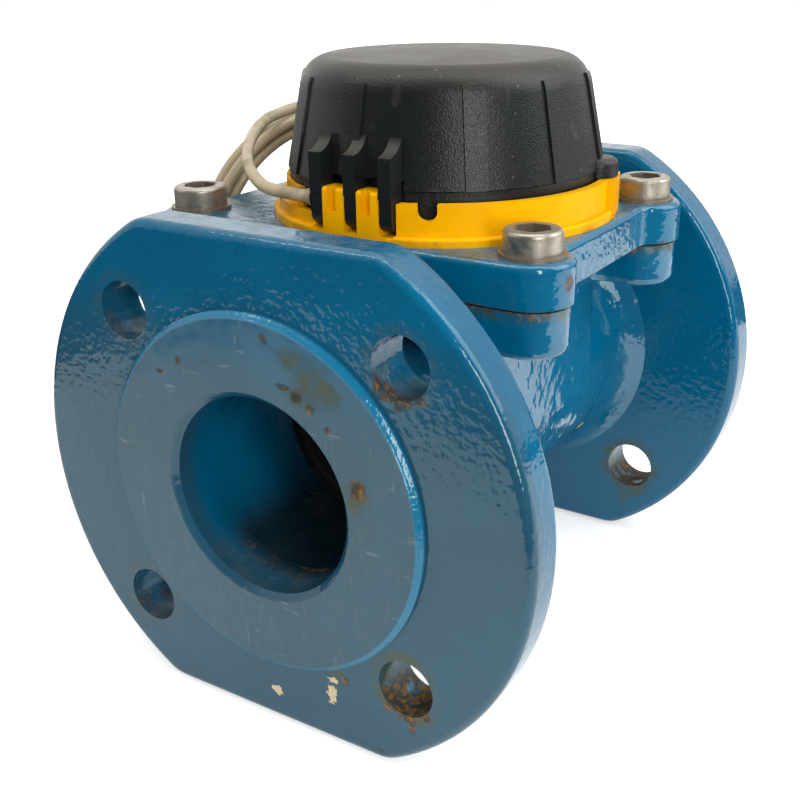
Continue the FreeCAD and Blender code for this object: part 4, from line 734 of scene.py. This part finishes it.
class METER_OT_plastics(Operator):
    """Give the cap, clamp ring, register and measuring insert their moulded plastics"""
    bl_idname = "meter.plastics"
    bl_label = "Plastics"

    def execute(self, context):
        look = meter_settings().plastic
        dress(self.cap(look), "lid", "bezel")
        dress(self.ring(look), "clamp_ring")
        rollers = [f"number_roller_{index}" for index in range(1, 7)]
        pointers = [f"pointer_{index}" for index in range(1, 4)]
        for name, colour, grain, depth, roughness, dust, nodes in (
                ("insert_black", look.wet, 0.8, 0.020, 0.30, 0.0,
                 ("insert_tube", "flow_straightener", "rear_carrier")),
                ("movement_grey", look.grey, 0.8, 0.020, 0.38, 0.0,
                 ("movement_plate", "roller_frame", "register_can")),
                ("rotor_white", look.white, 0.6, 0.015, 0.34, 0.0, ("rotor", "worm_wheel")),
                ("sensor_black", look.black, 0.5, 0.020, 0.36, 0.5, ("pulse_sensor",)),
                ("gland_grey", (0.36, 0.30, 0.20), 0.5, 0.020, 0.40, 0.3, ("cable_gland",)),
                ("roller_black", look.black, 0.3, 0.006, 0.30, 0.0, rollers),
                ("pointer_red", look.red, 0.3, 0.006, 0.30, 0.0, (*pointers, "star_wheel")),
                ("seal_rubber", (0.016, 0.016, 0.016), 0.9, 0.030, 0.62, 0.0, ("tube_seals",)),
                ("magnet_black", (0.035, 0.035, 0.038), 0.4, 0.020, 0.48, 0.0,
                 ("driver_magnet", "follower_magnet"))):
            dress(moulded(name, colour, grain, depth, roughness, look.dust, dust), *nodes)
        dress(self.fibre(), "cover_gasket")
        dress(self.glass(), "register_glass")
        return {"FINISHED"}

    def cap(self, look):
        """Black cap: sparkling spark-erosion grain, brown dust on top, pale rubs and specks."""
        finish = Finish("cap_black")
        grain = finish.noise(0.55, 2)
        cloud = finish.noise(11.0, 4)
        settled = finish.facing[2].rise(0.25, 0.95) * (cloud.rise(0.30, 0.70) * 0.5 + 0.5)
        rubs = finish.noise(5.0, 5, (1.0, 1.0, 0.35)).rise(0.60, 0.74)
        specks = finish.cells(4.2).rise(0.085, 0.05) * finish.noise(9.0, 2).rise(0.45, 0.6)
        colour = finish.coats(look.black, (settled * 0.17, look.dust),
                              (rubs * 0.16, (0.11, 0.10, 0.085)),
                              (specks * 0.6, (0.30, 0.27, 0.22)))
        return finish.surface(Base_Color=colour, Roughness=settled * 0.16 + rubs * 0.08 + 0.30,
                              Specular_IOR_Level=0.29, Normal=finish.bump(grain, 0.15))

    def ring(self, look):
        """Yellow ring: smooth and glossy, with dirt low down and a few dark scuffs."""
        finish = Finish("ring_yellow")
        cloud = finish.noise(10.0, 3)
        low = finish.axes[2].rise(COVER_MM + 4.0, COVER_MM) * cloud.rise(0.38, 0.66)
        scuffs = finish.noise(3.0, 5).rise(0.66, 0.76)
        colour = finish.coats(look.yellow, (cloud.rise(0.4, 0.75) * 0.5, (0.70, 0.315, 0.0)),
                              (low * 0.45, (0.20, 0.10, 0.012)),
                              (scuffs * 0.35, (0.16, 0.08, 0.012)))
        return finish.surface(Base_Color=colour, Roughness=cloud * 0.10 + low * 0.2 + 0.20,
                              Specular_IOR_Level=0.05,
                              Normal=finish.bump(finish.noise(2.4, 2), 0.02))

    def fibre(self):
        """Pressed fibre of the gasket, dark with oil and rust at its edge."""
        finish = Finish("gasket_fibre")
        strands = finish.noise(1.2, 4, (1.0, 1.0, 4.0))
        rust = finish.noise(8.0, 3).rise(0.48, 0.66)
        colour = finish.coats((0.014, 0.012, 0.010), (strands, (0.040, 0.032, 0.024)),
                              (rust * 0.7, (0.075, 0.030, 0.010)))
        return finish.surface(Base_Color=colour, Roughness=strands * 0.2 + 0.7,
                              Normal=finish.bump(strands, 0.15))

    def glass(self):
        """Register glass with a faint haze of dust."""
        finish = Finish("register_glass")
        haze = finish.noise(12.0, 4).rise(0.45, 0.80)
        tint = finish.mix(haze, (0.97, 0.99, 0.98), (0.93, 0.94, 0.92))
        return finish.surface(Base_Color=tint, Roughness=haze * 0.08 + 0.01,
                              Transmission_Weight=1.0, IOR=1.49)


class METER_OT_metals(Operator):
    """Give the screws, washers, shafts, bushes and worm their metals"""
    bl_idname = "meter.metals"
    bl_label = "Metals"

    def execute(self, context):
        look = meter_settings().metal
        dress(self.cover_steel(look), "cover_screws", "cover_washers")
        dress(machined_metal("stainless", look.stainless, look.grime, 0.26, 0.15),
              "hinge_pin", "rotor_shaft", "roller_axle", "drive_spindle", "follower_spindle",
              "ring_screws", "insert_screws", "pressure_cup")
        dress(machined_metal("brass", look.brass, (0.10, 0.05, 0.015), 0.30, 0.3),
              "worm", "front_bush", "rear_bush", "spindle_bush")
        return {"FINISHED"}

    def cover_steel(self, look):
        """Weathered plating: grey-brown patches, with grime in the sockets and under the heads."""
        finish = Finish("cover_steel")
        x, y, z = finish.axes
        off_axis = finish.radius(abs(x) - SCREW_PLACE[0], abs(y) - SCREW_PLACE[1])
        patches = finish.noise(3.2, 4)
        socket = off_axis.rise(6.1, 5.2)
        foot = z.rise(COVER_MM + 2.6, COVER_MM + 0.9)
        dull = patches.rise(0.42, 0.68)
        grime = (dull * 0.45).most(socket * 0.72).most(foot * 0.65)
        colour = finish.mix(grime, look.steel, look.grime)
        marks = finish.noise(0.9, 3)
        return finish.surface(Base_Color=colour, Metallic=1.0 - grime * 0.55,
                              Roughness=dull * 0.16 + marks * 0.14 + 0.34,
                              Normal=finish.bump(marks + patches * 1.5, 0.07))


def tick_tree():
    """Geometry Nodes: a ring of ticks on each point of a mesh."""
    group = bpy.data.node_groups.new("tick_ring", "GeometryNodeTree")
    names = {}
    for label, kind in (("Dials", "Geometry"), ("Ticks", "Int"), ("Radius", "Float"),
                        ("Tick size", "Vector"), ("Ink", "Material")):
        socket = group.interface.new_socket(name=label, in_out="INPUT",
                                            socket_type="NodeSocket" + kind)
        names[label] = socket.identifier
    group.interface.new_socket(name="Print", in_out="OUTPUT", socket_type="NodeSocketGeometry")
    tree = NodeTree(group)
    given = tree.node("NodeGroupInput", out="Dials")
    ring = tree.node("GeometryNodeMeshCircle", {},
                     {"Vertices": given.also("Ticks"), "Radius": given.also("Radius")})
    place = tree.node("GeometryNodeInputPosition")
    turned = tree.node("FunctionNodeAlignRotationToVector", {"axis": "X"}, {"Vector": place})
    tick = tree.node("GeometryNodeMeshCube", {}, {"Size": given.also("Tick size")})
    ticks = tree.node("GeometryNodeInstanceOnPoints", {},
                      {"Points": ring, "Instance": tick, "Rotation": turned})
    dials = tree.node("GeometryNodeInstanceOnPoints", {},
                      {"Points": given.also("Dials"), "Instance": ticks})
    solid = tree.node("GeometryNodeRealizeInstances", {}, {"Geometry": dials})
    inked = tree.node("GeometryNodeSetMaterial", {},
                      {"Geometry": solid, "Material": given.also("Ink")})
    tree.node("NodeGroupOutput", {}, {"Print": inked}, None)
    return group, names


def tick_mesh(tree, names, centres, ticks, radius, size, ink):
    """The ticks of several dials as a plain mesh."""
    points = bpy.data.meshes.new("dial_centres")
    points.from_pydata(centres, [], [])
    holder = new_object("dial_ticks", points)
    maker = holder.modifiers.new("Ticks", "NODES")
    maker.node_group = tree
    for label, value in (("Ticks", ticks), ("Radius", radius), ("Tick size", size), ("Ink", ink)):
        maker[names[label]] = value
    return plain_mesh(holder)


def figure_mesh(text, size, depth):
    """Flat type, centred on the origin and facing up."""
    curve = bpy.data.curves.new("figure", "FONT")
    curve.body = text
    curve.size = size
    curve.extrude = depth / 2
    curve.align_x = "CENTER"
    curve.align_y = "CENTER"
    return plain_mesh(new_object("figure", curve))


def joined(name, meshes):
    """Several meshes as one."""
    work = bmesh.new()
    for mesh in meshes:
        work.from_mesh(mesh)
        bpy.data.meshes.remove(mesh)
    whole = bpy.data.meshes.new(name)
    work.to_mesh(whole)
    work.free()
    return whole


def ink_finish(name, colour):
    """Printing ink, slightly uneven in cover."""
    finish = Finish(name)
    cover = finish.noise(0.9, 3).rise(0.3, 0.6)
    thin = [min(1.0, 1.5 * value) for value in colour]
    return finish.surface(Base_Color=finish.mix(cover, thin, colour), Roughness=cover * 0.15 + 0.42)


class METER_OT_dial(Operator):
    """Print the dial: rim marks, three small dials with figures, and the card they stand on"""
    bl_idname = "meter.dial"
    bl_label = "Dial Print"

    SUB_DIALS = ((-0.020, 0.012, "0.1"), (0.0, 0.024, "0.01"), (0.020, 0.012, "0.001"))
    TICK_RADIUS = 0.0078
    FIGURE_RADIUS = 0.0098
    RIM_INSET = 0.0045
    TICK_SIZE = (0.0013, 0.00032)
    RIM_TICK_SIZE = (0.0018, 0.00028)
    SHARE_PLACE = Vector((0.0, 0.0042, 0.0))
    SHARE_SIZE = 0.8

    def execute(self, context):
        look = meter_settings().dial
        ink = ink_finish("dial_ink", look.ink)
        dress(clouded("dial_card", look.card, 16.0, 4, 0.9, (0.1, 0.35), 2, 0.006), "dial_plate")
        level = DIAL_HIGH.z + look.print_depth / 2
        centre = Vector((DIAL_CENTRE.x, DIAL_CENTRE.y, level))
        tree, names = tick_tree()
        centres = [centre + Vector((x, y, 0.0)) for x, y, _ in self.SUB_DIALS]
        rim = (DIAL_HIGH.x - DIAL_LOW.x) / 2 - self.RIM_INSET
        meshes = [tick_mesh(tree, names, places, ticks, radius, (*size, look.print_depth), ink)
                  for places, ticks, radius, size in (
                      (centres, 10, self.TICK_RADIUS, self.TICK_SIZE),
                      ([centre], look.rim_ticks, rim, self.RIM_TICK_SIZE))]
        for place, (_, _, share) in zip(centres, self.SUB_DIALS):
            for figure in range(10):
                angle = 2 * math.pi * figure / 10
                outward = Vector((-math.sin(angle), -math.cos(angle), 0.0))
                spot = place + outward * self.FIGURE_RADIUS
                meshes.append(self.figure(str(figure), look.figure_size, spot))
            meshes.append(self.figure(share, look.figure_size * self.SHARE_SIZE,
                                      place + self.SHARE_PLACE))
        add_piece("dial_print", joined("dial_print", meshes), ink, "meter")
        return {"FINISHED"}

    def figure(self, text, size, place):
        """Type that reads from behind the meter, where the reader stands."""
        mesh = figure_mesh(text, size, meter_settings().dial.print_depth)
        mesh.transform(Matrix.Translation(place) @ Matrix.Rotation(math.pi, 4, "Z"))
        return mesh


class METER_OT_rollers(Operator):
    """Print ten figures round each number roller"""
    bl_idname = "meter.rollers"
    bl_label = "Roller Figures"

    SLICE = 0.0004

    def execute(self, context):
        look = meter_settings().dial
        white = ink_finish("roller_ink", (0.80, 0.80, 0.77))
        for index, shown in enumerate(reversed(look.reading), start=1):
            low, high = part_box(f"number_roller_{index}")
            middle = (low + high) / 2
            radius = (high.z - low.z) / 2
            meshes = [self.figure((int(shown) + step) % 10, step, middle, radius, look)
                      for step in range(10)]
            add_piece(f"roller_figures_{index}", joined("roller_figures", meshes), white,
                      f"drum_{index}")
        return {"FINISHED"}

    def figure(self, value, step, middle, radius, look):
        """One figure wrapped on the roller, step places on from the one that shows."""
        mesh = figure_mesh(str(value), look.roller_figure_size, look.print_depth)
        work = bmesh.new()
        work.from_mesh(mesh)
        slices = math.ceil(look.roller_figure_size / self.SLICE)
        for cut in range(-slices, slices + 1):
            parts = work.verts[:] + work.edges[:] + work.faces[:]
            bmesh.ops.bisect_plane(work, geom=parts, plane_co=(0, cut * self.SLICE, 0),
                                   plane_no=(0, 1, 0))
        for vertex in work.verts:
            across, along, lift = vertex.co
            angle = along / radius - 2 * math.pi * step / 10
            reach = radius + look.print_depth / 2 + lift
            spot = Vector((-across, -reach * math.sin(angle), reach * math.cos(angle)))
            vertex.co = middle + spot
        work.to_mesh(mesh)
        work.free()
        return mesh


class METER_OT_stage(Operator):
    """Set a pale floor, soft lights and a white surround"""
    bl_idname = "meter.stage"
    bl_label = "Studio"

    FLOOR_SIZE = 8.0
    FLOOR_GAP = 0.0003
    TABLE_EDGE = 8.0
    FAR_FADE = (300.0, 1500.0)
    CAMERA_SIDE = (0.528, -0.849, 0.0)
    WHITE, WARM, COOL = (1.0, 1.0, 1.0), (1.0, 0.93, 0.80), (0.94, 0.98, 1.0)

    def execute(self, context):
        look = meter_settings().studio
        context.scene.view_settings.view_transform = "Standard"
        self.floor(look)
        self.surround(context, look)
        for name, place, size, brightness, colour in (
                ("window_light", (-0.95, 1.15, 0.52), (1.7, 1.0), look.window, self.WARM),
                ("overhead_light", (-0.10, -0.15, 1.25), (1.3, 1.3), look.overhead, self.WHITE),
                ("side_light", (1.05, 0.45, 0.95), (1.2, 1.2), look.side, self.COOL),
                ("strip_light", (0.95, -0.78, 0.36), (0.26, 0.90), look.strip, self.WHITE),
                ("tube_light_left", (-0.40, -0.25, 1.10), (0.05, 0.90), look.tubes, self.WHITE),
                ("tube_light_right", (0.35, 0.05, 1.15), (0.05, 0.90), look.tubes, self.WHITE)):
            self.lamp(name, Vector(place), size, brightness, colour)
        fill = self.lamp("front_fill", Vector((0.25, -1.15, 0.60)), (1.6, 1.0), look.front,
                         self.WHITE)
        fill.visible_glossy = False
        return {"FINISHED"}

    def floor(self, look):
        """A pale table, white where it shows, that takes a shadow and ends before the camera."""
        mesh = bpy.data.meshes.new("studio_floor")
        half = self.FLOOR_SIZE / 2
        level = FLOOR_Z - self.FLOOR_GAP
        corners = [(x * half, y * half, level) for x, y in ((-1, -1), (1, -1), (1, 1), (-1, 1))]
        mesh.from_pydata(corners, [], [(0, 1, 2, 3)])
        floor = new_object("studio_floor", mesh)
        finish = Finish("studio_floor")
        straight, mirrored = self.rays(finish)
        table = straight.most(self.table_shape(finish, look))
        far = finish.radius(*finish.axes[:2]).rise(*self.FAR_FADE)
        glow = (far * look.far_lift + look.lift) * table * straight.most(mirrored)
        plain = finish.node("ShaderNodeBsdfDiffuse", {},
                            {"Color": finish.mix(table, look.beyond, look.table)})
        lift = finish.node("ShaderNodeEmission", {},
                           {"Color": finish.mix(glow, (0, 0, 0), self.WHITE)})
        shader = finish.node("ShaderNodeAddShader", {}, {0: plain, 1: lift})
        finish.node("ShaderNodeOutputMaterial", {}, {"Surface": shader}, None)
        mesh.materials.append(finish.material)

    def table_shape(self, finish, look):
        """1 on the table, which is open to the right and turned a little towards the camera."""
        x, y, _ = finish.axes
        ahead = x * math.sin(look.table_turn) - y * math.cos(look.table_turn)
        aside = x * math.cos(look.table_turn) + y * math.sin(look.table_turn)
        inside = 1.0
        for distance, reach in ((ahead, look.near_reach), (ahead * -1.0, look.rear_reach),
                                (aside * -1.0, look.left_reach)):
            edge = reach / MM
            inside = distance.rise(edge + self.TABLE_EDGE, edge - self.TABLE_EDGE) * inside
        return inside

    def rays(self, tree):
        """1 for rays that show the studio straight or through glass, and 1 for those off gloss."""
        ray = tree.node("ShaderNodeLightPath", out="Is Camera Ray")
        return ray.most(ray.also("Is Transmission Ray")), ray.also("Is Glossy Ray")

    def surround(self, context, look):
        """Even light from all round, white where it shows, with a darker room behind the camera."""
        world = bpy.data.worlds.new("studio_world")
        world.use_nodes = True
        context.scene.world = world
        tree = NodeTree(world.node_tree)
        straight, mirrored = self.rays(tree)
        direction = tree.node("ShaderNodeTexCoord", out="Generated")
        towards = tree.vector("DOT_PRODUCT", direction, self.CAMERA_SIDE, "Value")
        room = 1.0 - towards.rise(0.10, 0.45) * 0.9
        strength = straight.most(mirrored * room).most((1.0 - mirrored) * look.sky)
        light = tree.node("ShaderNodeBackground", {}, {"Color": self.WHITE, "Strength": strength})
        tree.node("ShaderNodeOutputWorld", {}, {"Surface": light}, None)

    def lamp(self, name, offset, size, brightness, colour):
        """A light of that size and brightness, set off from the meter and turned towards it."""
        aim = Vector((0.0, 0.0, AXIS_Z))
        light = bpy.data.lights.new(name, "AREA")
        light.shape = "RECTANGLE"
        light.size, light.size_y = size
        light.energy = brightness * math.pi * size[0] * size[1]
        light.color = colour
        lamp = new_object(name, light)
        lamp.location = aim + offset
        lamp.rotation_euler = (-offset).to_track_quat("-Z", "Y").to_euler()
        lamp.visible_camera = False
        return lamp


OPERATORS = (METER_OT_camera, METER_OT_cable, METER_OT_enamel, METER_OT_plastics, METER_OT_metals,
             METER_OT_dial, METER_OT_rollers, METER_OT_stage)


class METER_PT_looks(Panel):
    """Lists the steps that dress the meter, with their settings"""
    bl_idname = "METER_PT_looks"
    bl_label = "Water Meter Looks"
    bl_space_type = "VIEW_3D"
    bl_region_type = "UI"
    bl_category = "Water Meter"

    def draw(self, context):
        for operator in OPERATORS:
            self.layout.operator(operator.bl_idname)
        for name in MeterSettings.__annotations__:
            box = self.layout.box()
            box.label(text=name.title())
            group = getattr(context.scene.meter_looks, name)
            for key in group.__annotations__:
                box.prop(group, key)


CLASSES = (CameraSettings, CableSettings, PaintSettings, PlasticSettings, MetalSettings,
           DialSettings, StudioSettings, MeterSettings, *OPERATORS, METER_PT_looks)


def register():
    for cls in CLASSES:
        bpy.utils.register_class(cls)
    bpy.types.Scene.meter_looks = PointerProperty(type=MeterSettings)


def unregister():
    del bpy.types.Scene.meter_looks
    for cls in reversed(CLASSES):
        bpy.utils.unregister_class(cls)


def main():
    register()
    bpy.ops.meter.camera()
    bpy.ops.meter.cable()
    bpy.ops.meter.enamel()
    bpy.ops.meter.plastics()
    bpy.ops.meter.metals()
    bpy.ops.meter.dial()
    bpy.ops.meter.rollers()
    bpy.ops.meter.stage()


if __name__ == "__main__":
    main()
